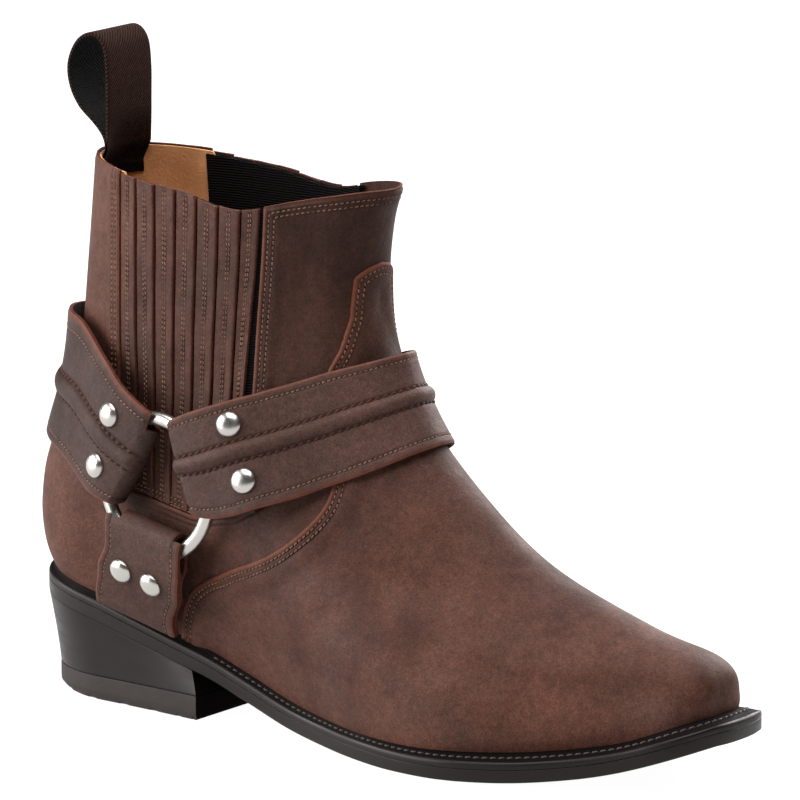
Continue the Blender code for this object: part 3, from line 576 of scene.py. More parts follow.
dice = np.random.default_rng(7)
for side, flip in SIDES:
    tops, unders, strip_faces, count = [], [], [], 0
    strip_tones = {"edge": [], "seam": [], "tone_and_painted_shade": []}
    sewing = Sewing(pitch=1.8, long=1.45, thick=0.27)
    for k in range(STRIPS):
        end = 0.998 - 0.007 * dice.random()
        rise, w = np.meshgrid(STRIP_UP * end, STRIP_ACROSS, indexing="ij")
        t, a = strip_at(k, rise, w)
        groove = sum(ROW_DEEP * np.exp(-((w - r) / 0.05) ** 2) for r in STRIP_ROWS)
        rim = 0.35 * np.exp(-(w / 0.02) ** 2) + 0.3 * np.exp(-((1 - w) / 0.02) ** 2)
        ripple = 0.12 * np.sin(rise * 31 + 2.1 * k) * (0.4 + 0.6 * w)
        high = TOP + (LEAN * w ** 1.5 - 0.1) - groove - rim + ripple * ease(0, 0.2, rise)
        for layer, off in ((tops, high), (unders, np.minimum(high - 0.9, -0.25))):
            layer.append(skin(t, on_side(a, flip), off)[0].reshape(-1, 3))
        strip_faces += [[i + count for i in f] for f in grid_faces(*w.shape)]
        count += w.size
        worn = np.exp(-(w / 0.05) ** 2) + np.exp(-((1 - w) / 0.06) ** 2)
        strip_tones["edge"].append(worn.ravel() * 0.22)
        strip_tones["tone_and_painted_shade"].append(np.full(w.size, 0.72 + 0.08 * dice.random()))
        strip_tones["seam"].append(np.clip(groove / ROW_DEEP, 0, 1).ravel() * 0.8)
        for r in STRIP_ROWS:
            t, a = strip_at(k, np.linspace(0.035, end - 0.012, 120), r)
            sewing.along(np.column_stack([t, on_side(a, flip)]), TOP + LEAN * r ** 1.5 - 0.24)
    for rise in (0.012, 0.03):
        share = np.linspace(0.005, 0.99, 80)
        t, a = gore_at(rise + 0 * share, share)
        sewing.along(np.column_stack([t, on_side(a, flip)]), TOP + 0.2)
    slab("gore_strips_" + side, np.vstack(tops), np.vstack(unders), strip_faces, [HIDE, HIDE_EDGE],
         ["gore_" + side], {k: np.concatenate(v) for k, v in strip_tones.items()})
    sewing.sewn("gore_stitches_" + side)
    t, a = gore_at(*np.meshgrid(np.linspace(0.0, 0.989, 30), np.linspace(-0.03, 1.06, 24), indexing="ij"))
    for where, *layer in (("", -0.4, -0.9), ("_inside", -1.85, -2.5)):
        face, under = (skin(t, on_side(a, flip), off)[0].reshape(-1, 3) for off in layer)
        slab("elastic_" + side + where, face, under, grid_faces(*t.shape), [ELASTIC])

# Vamp: one piece of hide over the forefoot, drawn up the instep into a tab on the shaft.
# It laps the quarter and the front panel and is sewn to them by two rows along its edge.
VAMP_EDGE = [
    (0.1697, 0.046), (0.1735, 0.130), (0.1759, 0.194), (0.1835, 0.262), (0.1955, 0.323), (0.2114, 0.3715),
    (0.239, 0.4215), (0.289, 0.482), (0.319, 0.524), (0.342, 0.560), (0.360, 0.600), (0.380, 0.690),
    (0.397, 0.755), (0.418, 0.785), (0.438, 0.828), (0.443, 0.862), (0.447, 0.886), (0.470, 0.896),
    (0.500, 0.901),
]
VAMP_ROWS = (2.2, 4.3)
# Soft creases: middle, run, half length, half width, depth (a ridge where it is below 0).
VAMP_CREASES = [
    ((176, -30, 62), (0.55, 0.35, -0.3), 26, 7.0, 0.9), ((190, -36, 46), (0.5, 0.3, 0.6), 24, 6.0, 0.45),
    ((203, -38, 40), (0.4, 0.3, 0.7), 22, 5.5, -0.35), ((214, -37, 37), (0.3, 0.3, 0.8), 22, 5.5, 0.4),
    ((132, -36, 70), (0.7, 0.1, 0.6), 20, 6.0, 0.6), ((190, 36, 46), (0.5, -0.3, 0.6), 24, 6.0, 0.5),
    ((207, 37, 40), (0.4, -0.3, 0.7), 22, 5.5, 0.4), ((281, -14, 32), (0.1, 0.0, 1.0), 8, 1.8, 0.3),
    ((284, -7, 33), (0.0, 0.0, 1.0), 8, 1.6, 0.35), ((285, 0, 33), (0.0, 0.0, 1.0), 7, 1.6, 0.3),
    ((277, 8, 41), (0.0, 1.0, 0.0), 20, 14.0, -1.0),
]
FOOT = 0.004                     # lower edge of the panels, just over the welt
vamp_half = resample(np.array([(t, a) for a, t in VAMP_EDGE]), 0.5)
sweep, corners = soften(vamp_half, 160), soften(vamp_half, 3)
vamp_half = sweep + (corners - sweep) * ease(0.36, 0.39, vamp_half[:, 1:])
vamp_line = np.vstack([vamp_half, mirrored(vamp_half)[1:]])


def spread(path, q):
    """Points of a line at the shares q of its run."""
    return at_length(path, np.linspace(0, 1, len(path)), q)


share = np.linspace(0, 1, 215)
feather = resample(np.column_stack([np.full(400, FOOT), np.linspace(0.168, 0.5, 400)]), 0.4)
high, low = spread(vamp_half, share), spread(feather, share)
long = np.linalg.norm(form(high[:, 0], high[:, 1]) - form(low[:, 0], low[:, 1]), axis=1)[:, None]
near_edge = np.array([0, 0.25, 0.5, 0.8, 1.2, 1.6, 1.95, 2.3, 2.65, 3.0, 3.4, 3.8, 4.2, 4.6, 5.0, 5.5, 6.2,
                      7.0, 8.2, 9.6, 11.2])
tail = np.minimum(near_edge[None] * np.minimum(1, long / 24), 0.6 * long) / long
body = np.linspace(0, 1, 82)[None, :-1] * (1 - tail[:, -1:])
rise = np.hstack([body, 1 - tail[:, ::-1]])
t = low[:, :1] + (high[:, :1] - low[:, :1]) * rise
a = low[:, 1:] + (high[:, 1:] - low[:, 1:]) * rise
vamp_faces = grid_faces(2 * len(t) - 1, t.shape[1])
t, a = np.vstack([t, t[-2::-1]]).ravel(), np.vstack([a, 1 - a[-2::-1]]).ravel()
last = form(t, a)
d = far_from(last, vamp_line)
lift = LAP * (1 - ease(6.5, 13.0, d))
face, _ = skin(t, a, TOP + lift + seam_relief(d, VAMP_ROWS) + creased(last, VAMP_CREASES))
under, _ = skin(t, a, UNDER + LAP * (1 - ease(6.5, 10.0, d)))
tones = seam_tones(d, VAMP_ROWS)
tones["edge"] = np.exp(-(d / (1.5 + 0.8 * ease(85, 105, last[:, 2]))) ** 2)
# Painted light along the vamp's low side and toe, painted shade up its tab on the shaft.
low_toe_side = ease(46, 16, last[:, 2]) * ease(150, 205, last[:, 0])
tones["tone_and_painted_shade"] = (0.97 + 0.36 * low_toe_side) * (1 - 0.2 * ease(95, 125, last[:, 2]))
slab("vamp", face, under, vamp_faces, [HIDE, HIDE_EDGE], ["vamp"], tones)
sewing = Sewing()
for r in VAMP_ROWS:
    sewing.along(soften(resample(inset(vamp_line, -r), 0.5), 6), TOP + LAP - 0.2)
sewing.sewn("vamp_stitches")

# Quarter: hide round the heel and up the back, running forward under the side panels
# to the vamp, its edge along the side panels turned over them and sewn by two rows.
QUARTER_ROWS = (1.9, 3.9)
SILL = 0.49                      # the side panels begin at this share of the height
SILL_ROW = 89
HIDDEN_LAP = 7.0                 # how far the quarter runs on under the vamp
BACK_RISE = 330                  # leather up the back, in mm for the whole of t at the collar
OTHER_SIDE = np.array([1, -1])


def rear(t):
    """Where the quarter ends along the side panel."""
    return gore_edge(np.maximum(t, SILL), 1)


rows = np.concatenate([np.linspace(FOOT, SILL, 90), np.linspace(0.494, 0.97, 90), [0.98, 0.988, 0.994, 1.0]])
across = np.concatenate([np.linspace(0, 0.86, 44), np.linspace(0.868, 0.985, 24), [0.992, 0.997, 1.0]])
t, q = np.meshgrid(rows, np.concatenate([-across[:0:-1], across]), indexing="ij")
back_part = np.stack([t, q * rear(t)], -1)
quarter_line = np.column_stack([np.linspace(1, 0.495, 200), rear(np.linspace(1, 0.495, 200))])
join_a = np.linspace(rear(SILL), 0.385, 160)
join_line = np.column_stack([join_edge(join_a) - 0.004, join_a])
hidden = inset(vamp_half, -HIDDEN_LAP)
hidden = hidden[(hidden[:, 0] > FOOT) & (hidden[:, 1] < 0.392)]
low_line = resample(np.vstack([[(FOOT, rear(SILL)), (FOOT, hidden[0, 1])], hidden]), 0.5)
flap_share = np.linspace(0, 1, 100)
low, high = spread(low_line, flap_share), spread(resample(join_line, 0.5), flap_share)
high[0] = (rows[SILL_ROW], rear(SILL))
rise = (rows[:SILL_ROW + 1] - FOOT) / (rows[SILL_ROW] - FOOT)
flap = low[None] + (high - low)[None] * rise[:, None, None]
flap[:, 0] = back_part[:SILL_ROW + 1, -1]
ta, quarter_faces = merged(back_part, flap, flap[:, ::-1] * OTHER_SIDE)
edge_line = resample(np.vstack([quarter_line, join_line]), 0.5)
both = np.vstack([edge_line, edge_line * OTHER_SIDE])
t, a = ta.T
d = np.minimum(far_from(form(t, a), both), 30)
collar = (1 - t) * BACK_RISE
relief = seam_relief(d, QUARTER_ROWS) - 0.4 * np.exp(-(collar / 0.6) ** 2)
turned = ease(0.47, 0.52, t)     # only the edge along the side panels is turned over
face, _ = skin(t, a, TOP + relief + 0.75 * (1 - ease(4.5, 10, d)) * turned)
under, _ = skin(t, a, UNDER + 0.55 * (1 - ease(4.0, 7, d)) * turned)
tones = seam_tones(d, QUARTER_ROWS)
tones["edge"] = np.maximum(tones["edge"] * 0.4, 0.15 * np.exp(-(collar / 1.4) ** 2))
tones["tone_and_painted_shade"] = 0.98 - 0.1 * ease(0.45, 0.6, t)
slab("quarter", face, under, quarter_faces, [HIDE, HIDE_EDGE], ["quarter"], tones)
sewing = Sewing(pitch=1.95, long=1.6, thick=0.29)
for r in QUARTER_ROWS:
    rear_row = soften(resample(inset(quarter_line, -r), 0.5), 4)
    rear_row = rear_row[rear_row[:, 0] < 0.99]
    sewing.along(rear_row, TOP + 0.5)
    sewing.along(rear_row * OTHER_SIDE, TOP + 0.5)
sewing.sewn("quarter_stitches")

# Front panel of the shaft: hide from one side panel round the front to the other,
# its edges laid over the elastic and sewn by two rows that turn along the collar.
PANEL_ROWS = (2.3, 4.4)
RIM = 0.8                        # the rows lie this much further from the collar than from the sides
FRONT_RISE = 300                 # leather up the front, in mm for the whole of t at the collar
CURL = 2.6                       # the collar's front edge curls out this much
PANEL_LAP = 1.0                  # how much the panel's sides stand over the elastic
SHAFT_CREASES = [
    ((120, -27, 172), (0.1, 0.0, 1.0), 34, 8.0, 1.1), ((131, -18, 165), (0.05, 0.1, 1.0), 30, 6.0, -0.6),
    ((122, 27, 172), (0.1, 0.0, 1.0), 34, 8.0, 1.1), ((136, 4, 150), (0.0, 1.0, 0.1), 16, 7.0, 0.7),
]


def front_edge(t):
    """Where the front panel ends along the side panel."""
    return gore_edge(t, 2) + 0.0012


def panel_swell(t, a, spots, d):
    """Height of the front panel's face over the last, at a distance d from its sewn sides."""
    curl = CURL * ease(0.94, 1.0, t) ** 1.6 * np.exp(-((a - 0.5) / 0.05) ** 2)
    return TOP + PANEL_LAP * (1 - ease(4.5, 10, d)) + curl + creased(spots, SHAFT_CREASES) * ease(8, 20, d)


across = np.concatenate([np.linspace(0, 0.10, 24), np.linspace(0.106, 1, 62)])
vamp_low = np.array(VAMP_EDGE)
low = np.full(len(across), 0.56)
for _ in range(8):
    at = front_edge(low) + across * (0.5 - front_edge(low))
    lap_edge = np.interp(at, vamp_low[:, 0], vamp_low[:, 1]) - 0.05
    low = np.maximum(join_edge(at) + 0.004, np.where(at > 0.345, lap_edge, 0))
rows = np.concatenate([np.linspace(0, 0.95, 90), [0.96, 0.97, 0.978, 0.985, 0.991, 0.996, 1.0]])
t = low[None] + (1 - low)[None] * rows[:, None]
a = front_edge(t) + across[None] * (0.5 - front_edge(t))
t, a = np.hstack([t, t[:, -2::-1]]), np.hstack([a, 1 - a[:, -2::-1]])
panel_faces = grid_faces(*t.shape)
t, a = t.ravel(), a.ravel()
panel_line = np.column_stack([np.linspace(0.54, 1, 300), front_edge(np.linspace(0.54, 1, 300))])
both = np.vstack([panel_line, mirrored(panel_line)])
spots = form(t, a)
d = far_from(spots, both)
collar = (1 - t) * FRONT_RISE
rim = np.minimum(d, np.maximum(collar - RIM, 0.0))
swell = panel_swell(t, a, spots, d)
face, _ = skin(t, a, swell + seam_relief(rim, PANEL_ROWS))
under, _ = skin(t, a, swell - 1.4)
tones = seam_tones(rim, PANEL_ROWS)
tones["edge"] = np.maximum(0.7 * np.exp(-(d / 1.3) ** 2), 0.15 * np.exp(-(collar / 1.4) ** 2))
# Painted shade: the whole front panel is darkened, as it faces away from the key light.
tones["tone_and_painted_shade"] = np.full(t.size, 0.56)
slab("shaft_front", face, under, panel_faces, [HIDE, HIDE_EDGE], ["shaft_front"], tones)
sewing = Sewing(pitch=1.95, long=1.6, thick=0.29)
for r in PANEL_ROWS:
    line, top = inset(panel_line, -r), 1 - (r + RIM) / FRONT_RISE
    line = line[line[:, 0] < top]
    line = np.vstack([line, np.column_stack([np.full(80, top), np.linspace(line[-1, 1], 0.5, 80)])])
    line = soften(resample(line, 0.4), 14)
    line = np.vstack([line, mirrored(line)[1:]])
    spots = form(line[:, 0], line[:, 1])
    sewing.along(line, panel_swell(line[:, 0], line[:, 1], spots, far_from(spots, both)) - 0.22)
sewing.sewn("shaft_stitches")

# Insole: a board cut to the last's underside with a tan leather sock glued on it.
# It lies inside the wall, and its rim is skived round.
INSOLE_TOP, WELT, EDGE = 1.8, 2.7, 7.5    # over the seat; thickness of the welt, and of welt and outsole
SOLE = dict(zip(RING_COLUMNS, (-6, 0, 294, 0, 0, 0, 34.5, 33, 28, 49, 46.5, 30, 0.115, 0.085, 2.5)))
FEATHER = dict(zip(RING_COLUMNS, RINGS[0]))


def shrunk(row, d):
    """An outline with its edge moved in by d."""
    r = dict(row)
    r["back_x"], r["front_x"] = r["back_x"] + d, r["front_x"] - d
    for key in ("heel", "waist_out", "waist_in", "ball_out", "ball_in", "toe"):
        r[key] = r[key] - d
    return r


def outline(row, n=320):
    """Closed outline of a sole: outer side first, from the heel."""
    k = np.arange(n)
    s = 0.5 - 0.5 * np.cos(2 * np.pi * k / n)
    x, y_out = plan(row, s, -1)
    return np.column_stack([x, np.where(k <= n // 2, y_out, plan(row, s, 1)[1])])


def stacked(name, loops, finishes, stands_for, pick=None):
    """A solid through closed outlines one under the other, closed at both ends by strips."""
    n = len(loops[0])
    faces = grid_faces(len(loops), n, True)
    for base, flip in ((0, True), ((len(loops) - 1) * n, False)):
        for k in range(n // 2):
            f = [base + k, base + k + 1, base + (n - k - 1) % n, base + (n - k) % n]
            f = list(dict.fromkeys(f))
            if len(f) > 2:
                faces.append(f[::-1] if flip else f)
    pick = pick and pick + [0] * (len(faces) - len(pick))
    piece(name, np.vstack(loops), faces, finishes, stands_for, pick, crisp=35)


TOE_UP = 1.1                     # the tip of the sole turns up this much more than the last


def at_seat(xy, dz, least=-99.0):
    """An outline laid on the seat line under the last, moved up by dz."""
    seat = through(SEAT, xy[:, 0]) + TOE_UP * ease(248, 292, xy[:, 0])
    return np.column_stack([xy, np.maximum(seat + dz, least)])


board = shrunk(FEATHER, WALL + 1.0)
loops = [at_seat(outline(shrunk(board, d)), dz)
         for d, dz in ((1.2, INSOLE_TOP), (0.3, INSOLE_TOP - 0.3), (0.0, INSOLE_TOP - 1.2), (0.0, -2.4))]
stacked("insole", loops, [LINING], ["insole"])

# Welt: a band of black leather-like rubber round the foot, stitched down beside the upper
# through to the outsole with dark waxed thread, its edge dressed and polished.
def rubber(name, base, rough, shine, streak, deep):
    """Black rubber or edge dressing with fine streaks along it."""
    m, body = finish(name, Base_Color=(*base, 1), Specular_IOR_Level=shine,
                     Specular_Tint=(1.0, 0.88, 0.86, 1.0))
    spot = place(m)
    lines = add(m, "Mapping", {"Vector": spot, "Scale": (60.0, 60.0, streak)}).outputs["Vector"]
    worn = noise(m, lines, 1.0, 4, 0.6)
    gloss = rescale(m, worn, 0.3, 0.7, rough - 0.05, rough + 0.12)
    height = weigh(m, (worn, 1.0), (noise(m, spot, 600, 3), 0.35))
    plug(m, body, Roughness=gloss, Normal=bump(m, height, deep, 0.5))
    return m


DRESSED = rubber("dressed_edge", (0.0066, 0.0053, 0.0049), 0.38, 0.2, 240.0, 0.07)
WELT_TOP = rubber("welt_face", (0.003, 0.0021, 0.0018), 0.6, 0.04, 300.0, 0.7)
DARK_THREAD, _ = finish("dark_thread", Base_Color=(0.034, 0.024, 0.02, 1), Roughness=0.5,
                        Specular_IOR_Level=0.2)
inner, brow, lip = shrunk(FEATHER, WALL + 0.4), shrunk(FEATHER, -1.3), shrunk(SOLE, 1.2)
WELT_HIGH = 2.2                  # how far the welt climbs the upper
WELT_TOE = 1.4                   # and how much more at the toe
SEWN_AT = 0.52                   # row of thread, as a share of the slope
SEWN_FROM = 84.0                 # the row begins ahead of the heel


def slope(q, n=320):
    """A line round the welt's slope, from its top at the upper to its lip, with a groove for the thread."""
    top, foot = outline(brow, n), at_seat(outline(lip, n), 0.1)
    top = at_seat(top, WELT_HIGH + WELT_TOE * ease(255, 280, top[:, 0]))
    p = top + (foot - top) * q
    p[:, 2] += (top - foot)[:, 2] * (q - q * q) * ease(240, 280, p[:, 0])
    p[:, 2] -= 0.3 * math.exp(-((q - SEWN_AT) / 0.1) ** 2)
    return p


loops = [at_seat(outline(inner), -0.05), at_seat(outline(shrunk(FEATHER, -0.3)), WELT_HIGH - 0.1)]
loops += [slope(q) for q in (0, 0.12, 0.28, 0.4, 0.47, 0.52, 0.57, 0.64, 0.76, 0.9, 1.0)]
slopes = len(loops) - 1
for d, dz in ((0.8, 0.05), (0.45, -0.12), (0.2, -0.42), (0.05, -0.9), (0.0, -1.4), (0.0, -2.5),
              (0.1, -2.62), (0.3, -2.68)):
    loops.append(at_seat(outline(shrunk(SOLE, d)), dz))
loops.append(at_seat(outline(inner), -2.68))
n = len(loops[0])
faces = grid_faces(len(loops), n, True)
faces += [[(len(loops) - 1) * n + k, (len(loops) - 1) * n + (k + 1) % n, (k + 1) % n, k] for k in range(n)]
pick = [1] * (slopes * n) + [0] * (len(faces) - slopes * n)
piece("welt", np.vstack(loops), faces, [DRESSED, WELT_TOP], ["welt"], pick)
sewing = Sewing(pitch=3.1, long=2.7, thick=0.4, slant=0.1)
line = slope(SEWN_AT, 900)
up = np.cross(np.gradient(line, axis=0), slope(SEWN_AT + 0.3, 900) - slope(SEWN_AT - 0.3, 900))
up = up * np.sign(up[:, 2:])
ahead_of_heel = line[:, 0] > SEWN_FROM
sewing.row(line[ahead_of_heel], up[ahead_of_heel])
sewing.sewn("welt_stitches", DARK_THREAD)

# Outsole: a plate of black rubber cemented and stitched under the welt, flat under the ball
# and turned up at the toe. Its lower edge is rounded off ahead of the heel.
loops = []
whole = outline(SOLE)
for d, dz in ((1.2, -WELT - 0.05), (0.12, -WELT - 0.05), (0.0, -WELT - 0.2), (0.0, -EDGE + 0.7),
              (0.25, -EDGE + 0.2), (0.7, -EDGE), (2.5, -EDGE)):
    round_off = 0.06 + 0.94 * ease(70, 92, whole[:, :1]) if 0 < d < 1 and dz < -WELT - 1 else 1.0
    edge = whole + (outline(shrunk(SOLE, d)) - whole) * round_off
    loops.append(at_seat(edge, dz, 0.0 if dz <= -EDGE else 0.02))
stacked("outsole", loops, [DRESSED], ["outsole"])

# Heel: a stacked block dressed black, hollow at its sides and upright at the breast,
# on a ribbed top lift of harder rubber nailed under it.
BREAST_X, BREAST_TOP = 80.0, 76.5         # front of the heel at the floor and under the outsole
LIFT = 9.2                                # height of the top lift
HALF, WIDEN, FLARE = 31.5, 2.5, 1.0       # half width at the floor, growth to the breast, more outside
HEEL_MIDDLE = np.array([40.0, 0.0, 0.0])
along = 0.5 - 0.5 * np.cos(np.pi * np.linspace(0, 1, 70))


def heel_floor(back, more):
    """Plan of the heel near the floor: x, outer side and inner side."""
    xs = back + (BREAST_X - back) * along
    w = (HALF + more + WIDEN * along) * round_end(along / 0.42, 2.1)
    return xs, through(MIDDLE, xs) - w - FLARE * along ** 2, through(MIDDLE, xs) + w


def heel_loop(xs, lo, hi, z):
    """A closed outline of the heel from its two sides."""
    one = np.column_stack([xs, lo, z + 0 * xs])
    two = np.column_stack([xs, hi, z + 0 * xs])
    return np.vstack([one, two[:0:-1]])


def pulled(loop, d):
    """A heel outline drawn in by d towards its middle."""
    run = (loop - HEEL_MIDDLE) * np.array([1, 1, 0])
    size = np.linalg.norm(run, axis=1, keepdims=True)
    return loop - run / size * np.minimum(d, 0.5 * size)


def breast_faces(loops):
    """Picks the breast's near-black finish, painted shade, for the faces between the heel's two front
    corners.
    """
    return [1 if k == len(along) - 1 else 0 for _ in loops[1:] for k in range(len(loops[0]))]


foot = heel_floor(-2.0, 0.0)
xs = SOLE["back_x"] + (BREAST_TOP - SOLE["back_x"]) * along
s = (xs - SOLE["back_x"]) / (SOLE["front_x"] - SOLE["back_x"])
crown = xs, plan(SOLE, s, -1)[1], plan(SOLE, s, 1)[1]
loops = []
for h in np.linspace(0, 1, 49):
    outline_at = [p + (q - p) * h ** 1.25 for p, q in zip(foot, crown)]
    z0, z1 = LIFT + 0.25, through(SEAT, crown[0]) - EDGE - 0.15
    loop = heel_loop(*outline_at, z0 + (z1 - z0) * h)
    draw = 0.3 * np.exp(-(h / 0.015) ** 2) + 0.06 * np.exp(-((1 - h) / 0.01) ** 2)
    loops.append(pulled(loop, draw))
# The heel's and top lift's breast: matte rubber, its near-black colour painted shade under the waist.
BREAST_SHADE = rubber("breast_painted_shade", (0.0022, 0.0017, 0.0015), 0.9, 0.02, 200.0, 0.3)
stacked("heel", loops[::-1], [DRESSED, BREAST_SHADE], ["heel"], breast_faces(loops))

LIFT_RUBBER = rubber("top_lift_rubber", (0.022, 0.0175, 0.0166), 0.66, 0.22, 90.0, 0.6)
loops = []
low, mid = heel_loop(*heel_floor(0.0, -0.6), 0.0), heel_loop(*foot, 3.0)
teeth = np.where(np.arange(len(low)) % 9 < 2, 0.55, 0.0)[:, None]
for z, d in ((LIFT, 0.3), (9.0, 0.08), (8.7, 0.0), (4.2, 0.0), (2.6, 0.0), (1.4, 0.25), (1.2, 0.35),
             (0.4, 0.6), (0.0, 1.3)):
    loop = low + (mid - low) * ease(0.0, 3.0, z)
    loop[:, 2] = z
    loops.append(pulled(loop, d + (teeth if z < 1.3 else 0)))
stacked("top_lift", loops, [LIFT_RUBBER, BREAST_SHADE], ["top_lift"], breast_faces(loops))

# Rings: one of round nickel-plated steel wire on each side, welded shut.
# Each is held only by the folded ends of the three straps that meet on it.
WIRE, RING = 2.6, 25.0           # radius of the wire, and of the ring to the wire's middle
WIRE_STEPS, RING_STEPS = 24, 128
RING_AT, RING_OFF = (0.545, 0.2145), 8.8
NICKEL, nickel_body = finish("nickel", Base_Color=(0.46, 0.44, 0.41, 1), Metallic=1.0)
spot = place(NICKEL)
plug(NICKEL, nickel_body, Roughness=rescale(NICKEL, noise(NICKEL, spot, 300, 3), 0.3, 0.7, 0.24, 0.36),
     Normal=bump(NICKEL, noise(NICKEL, spot, 900, 2), 0.05, 0.3))


def turns(steps):
    """Even angles round a circle."""
    return np.arange(steps) * 2 * np.pi / steps


def circle(angle, axis, lean):
    """Directions at some angles round an axis."""
    e = unit(np.cross(axis, lean))
    return np.outer(np.cos(angle), e) + np.outer(np.sin(angle), np.cross(axis, e))


ring_frames = {}
for side, flip in SIDES:
    c, axis = skin(RING_AT[0], on_side(RING_AT[1], flip), RING_OFF)
    ring_frames[flip] = (c, axis)
    g, b = (v.ravel() for v in np.meshgrid(turns(RING_STEPS), turns(WIRE_STEPS), indexing="ij"))
    out = circle(g, axis, [0, 0, 1.0])
    wire = c + out * (RING + WIRE * np.cos(b))[:, None] + np.outer(0.92 * WIRE * np.sin(b), axis)
    faces = []
    for i in range(RING_STEPS):
        one, two = i * WIRE_STEPS, (i + 1) % RING_STEPS * WIRE_STEPS
        for j in range(WIRE_STEPS):
            k = (j + 1) % WIRE_STEPS
            faces.append([one + j, two + j, two + k, one + k])
    piece("ring_" + side, wire, faces, [NICKEL], ["ring_" + side])

# Harness straps: padded hide, each end folded round a ring and riveted to itself.
# A cord under the leather makes the ridge between two bold rows; both edges are sewn.
STRAP, STRAP_WIDE = 1.8, 41.0
FOLD = WIRE + 0.4 + STRAP / 2    # radius of a fold round the wire, to the middle of the leather
# Rows of a strap's table: share round the last and height at one edge, the same at the other edge,
# then how far both edges stand off the last.
STRAP_FRONT = [
    (0.243, 0.519, 0.243, 0.668, 12.0, 12.0), (0.265, 0.522, 0.265, 0.689, 12.0, 12.0),
    (0.298, 0.546, 0.298, 0.711, 10.5, 11.0), (0.325, 0.566, 0.325, 0.725, 6.6, 8.0),
    (0.352, 0.586, 0.352, 0.737, 4.4, 5.6), (0.400, 0.609, 0.400, 0.753, 4.3, 5.2),
    (0.450, 0.624, 0.450, 0.760, 4.3, 7.2), (0.500, 0.629, 0.500, 0.762, 4.3, 9.2),
]
STRAP_BACK = [
    (0.1745, 0.476, 0.233, 0.677, 12.0, 12.0), (0.161, 0.475, 0.205, 0.714, 12.0, 12.0),
    (0.146, 0.478, 0.178, 0.757, 10.0, 10.5), (0.128, 0.500, 0.150, 0.787, 6.0, 8.0),
    (0.105, 0.519, 0.122, 0.808, 4.4, 7.6), (0.070, 0.528, 0.080, 0.812, 4.2, 7.2),
    (0.035, 0.531, 0.040, 0.812, 4.2, 7.2), (0.000, 0.532, 0.000, 0.808, 4.2, 7.2),
]
STRAP_LOW = [
    (0.168, 0.462, 0.229, 0.470, 12.6, 12.6), (0.155, 0.360, 0.2155, 0.405, 12.4, 12.4),
    (0.140, 0.262, 0.1965, 0.318, 11.0, 11.0), (0.131, 0.158, 0.1785, 0.185, 8.6, 8.6),
    (0.123, 0.055, 0.1722, 0.070, 6.2, 6.2),
]
RIDGE_ROWS = (0.425, 0.605)      # bold rows across the strap, the ridge between them
EDGE_ROWS = (0.085, 0.915)
LOW_ROWS = (0.09, 0.91)
LOW_DOUBLED = 1.6                # a second leather under the low straps
UNDER_RUN = 2.1                  # how far the folded end runs back, in rows of a table
NOTCH_END = 0.12                 # the fold is cut narrower up to this row of a table
CLOSER = 1.4                     # the long straps are drawn tight over the panels
RIDGE_HIGH = 1.7
STRAP_FRONT, STRAP_BACK = ([(*r[:4], r[4] - CLOSER, r[5] - CLOSER) for r in rows]
                           for rows in (STRAP_FRONT, STRAP_BACK))
STRAP_HIDE = leather("strap_leather", (0.036, 0.0168, 0.0128), (0.048, 0.0232, 0.0182),
                     (0.062, 0.03, 0.0235), (0.036, 0.0225, 0.0195), 0.56)


def strap_mid(table, u, w, flip):
    """Middle of a strap's leather: u along its table, below 0 round the fold and under; w across."""
    u, w = np.broadcast_arrays(np.asarray(u, float), np.asarray(w, float))
    rows = np.array(table, float)
    ends = [form(rows[k, 1::2][:2], rows[k, 0::2][:2]) for k in (0, 1)]
    length = np.linalg.norm(ends[1] - ends[0], axis=1).mean()
    half, bend = FOLD / length, math.pi * FOLD / length
    angle = np.clip((half - u) / bend, 0, 1) * math.pi
    at = np.where(u >= half, u, half - half * np.sin(angle) + np.maximum(half - bend - u, 0))
    v = smooth(np.arange(len(rows)), rows, np.clip(at, 0, len(rows) - 1))
    a = v[..., 0] + (v[..., 2] - v[..., 0]) * w
    t = v[..., 1] + (v[..., 3] - v[..., 1]) * w
    lie = v[..., 4] + (v[..., 5] - v[..., 4]) * w
    a = on_side(a, flip)
    c, axis = ring_frames[flip]
    p, m = skin(t, a)
    plane = np.clip(np.sum((c - p) * axis, -1) / np.sum(m * axis, -1), 7.5, 9.9)
    folded = plane + FOLD * np.cos(angle)
    blend = np.where(u >= half, ease(0.5, 2.3, at), 0.0)
    return skin(t, a, folded + (lie - folded) * blend)[0]


def strap_face(mid, u, w, turn):
    """Middle and outward normal of a strap."""
    du = mid(u + 0.02, w) - mid(u - 0.02, w)
    dw = mid(u, np.minimum(w + 0.02, 1)) - mid(u, np.maximum(w - 0.02, 0))
    return mid(u, w), unit(np.cross(du, dw) * turn)


def strap_relief(u, w, ridge_to=None):
    """Height over a strap's face, and its tones; a ridge runs along it from 0 to ridge_to."""
    wide = np.minimum(w, 1 - w) * STRAP_WIDE
    h = -0.5 * np.exp(-(wide / 0.5) ** 2)
    seam = 0 * w
    for r in EDGE_ROWS:
        line = np.exp(-((w - r) * STRAP_WIDE / 0.55) ** 2)
        h, seam = h - 0.25 * line, np.maximum(seam, line)
    if ridge_to is not None:
        on = ease(-0.2, 0.25, u) * ease(-0.2, 0.25, ridge_to - u)
        q = np.clip((w - RIDGE_ROWS[0]) / (RIDGE_ROWS[1] - RIDGE_ROWS[0]), 0, 1)
        h = h + on * RIDGE_HIGH * np.sin(np.pi * q) ** 0.8
        for r in RIDGE_ROWS:
            line = np.exp(-((w - r) * STRAP_WIDE / 0.7) ** 2) * on
            h, seam = h - 0.4 * line, np.maximum(seam, line)
    return h, {"edge": 0.8 * np.exp(-(wide / 1.1) ** 2), "seam": seam}


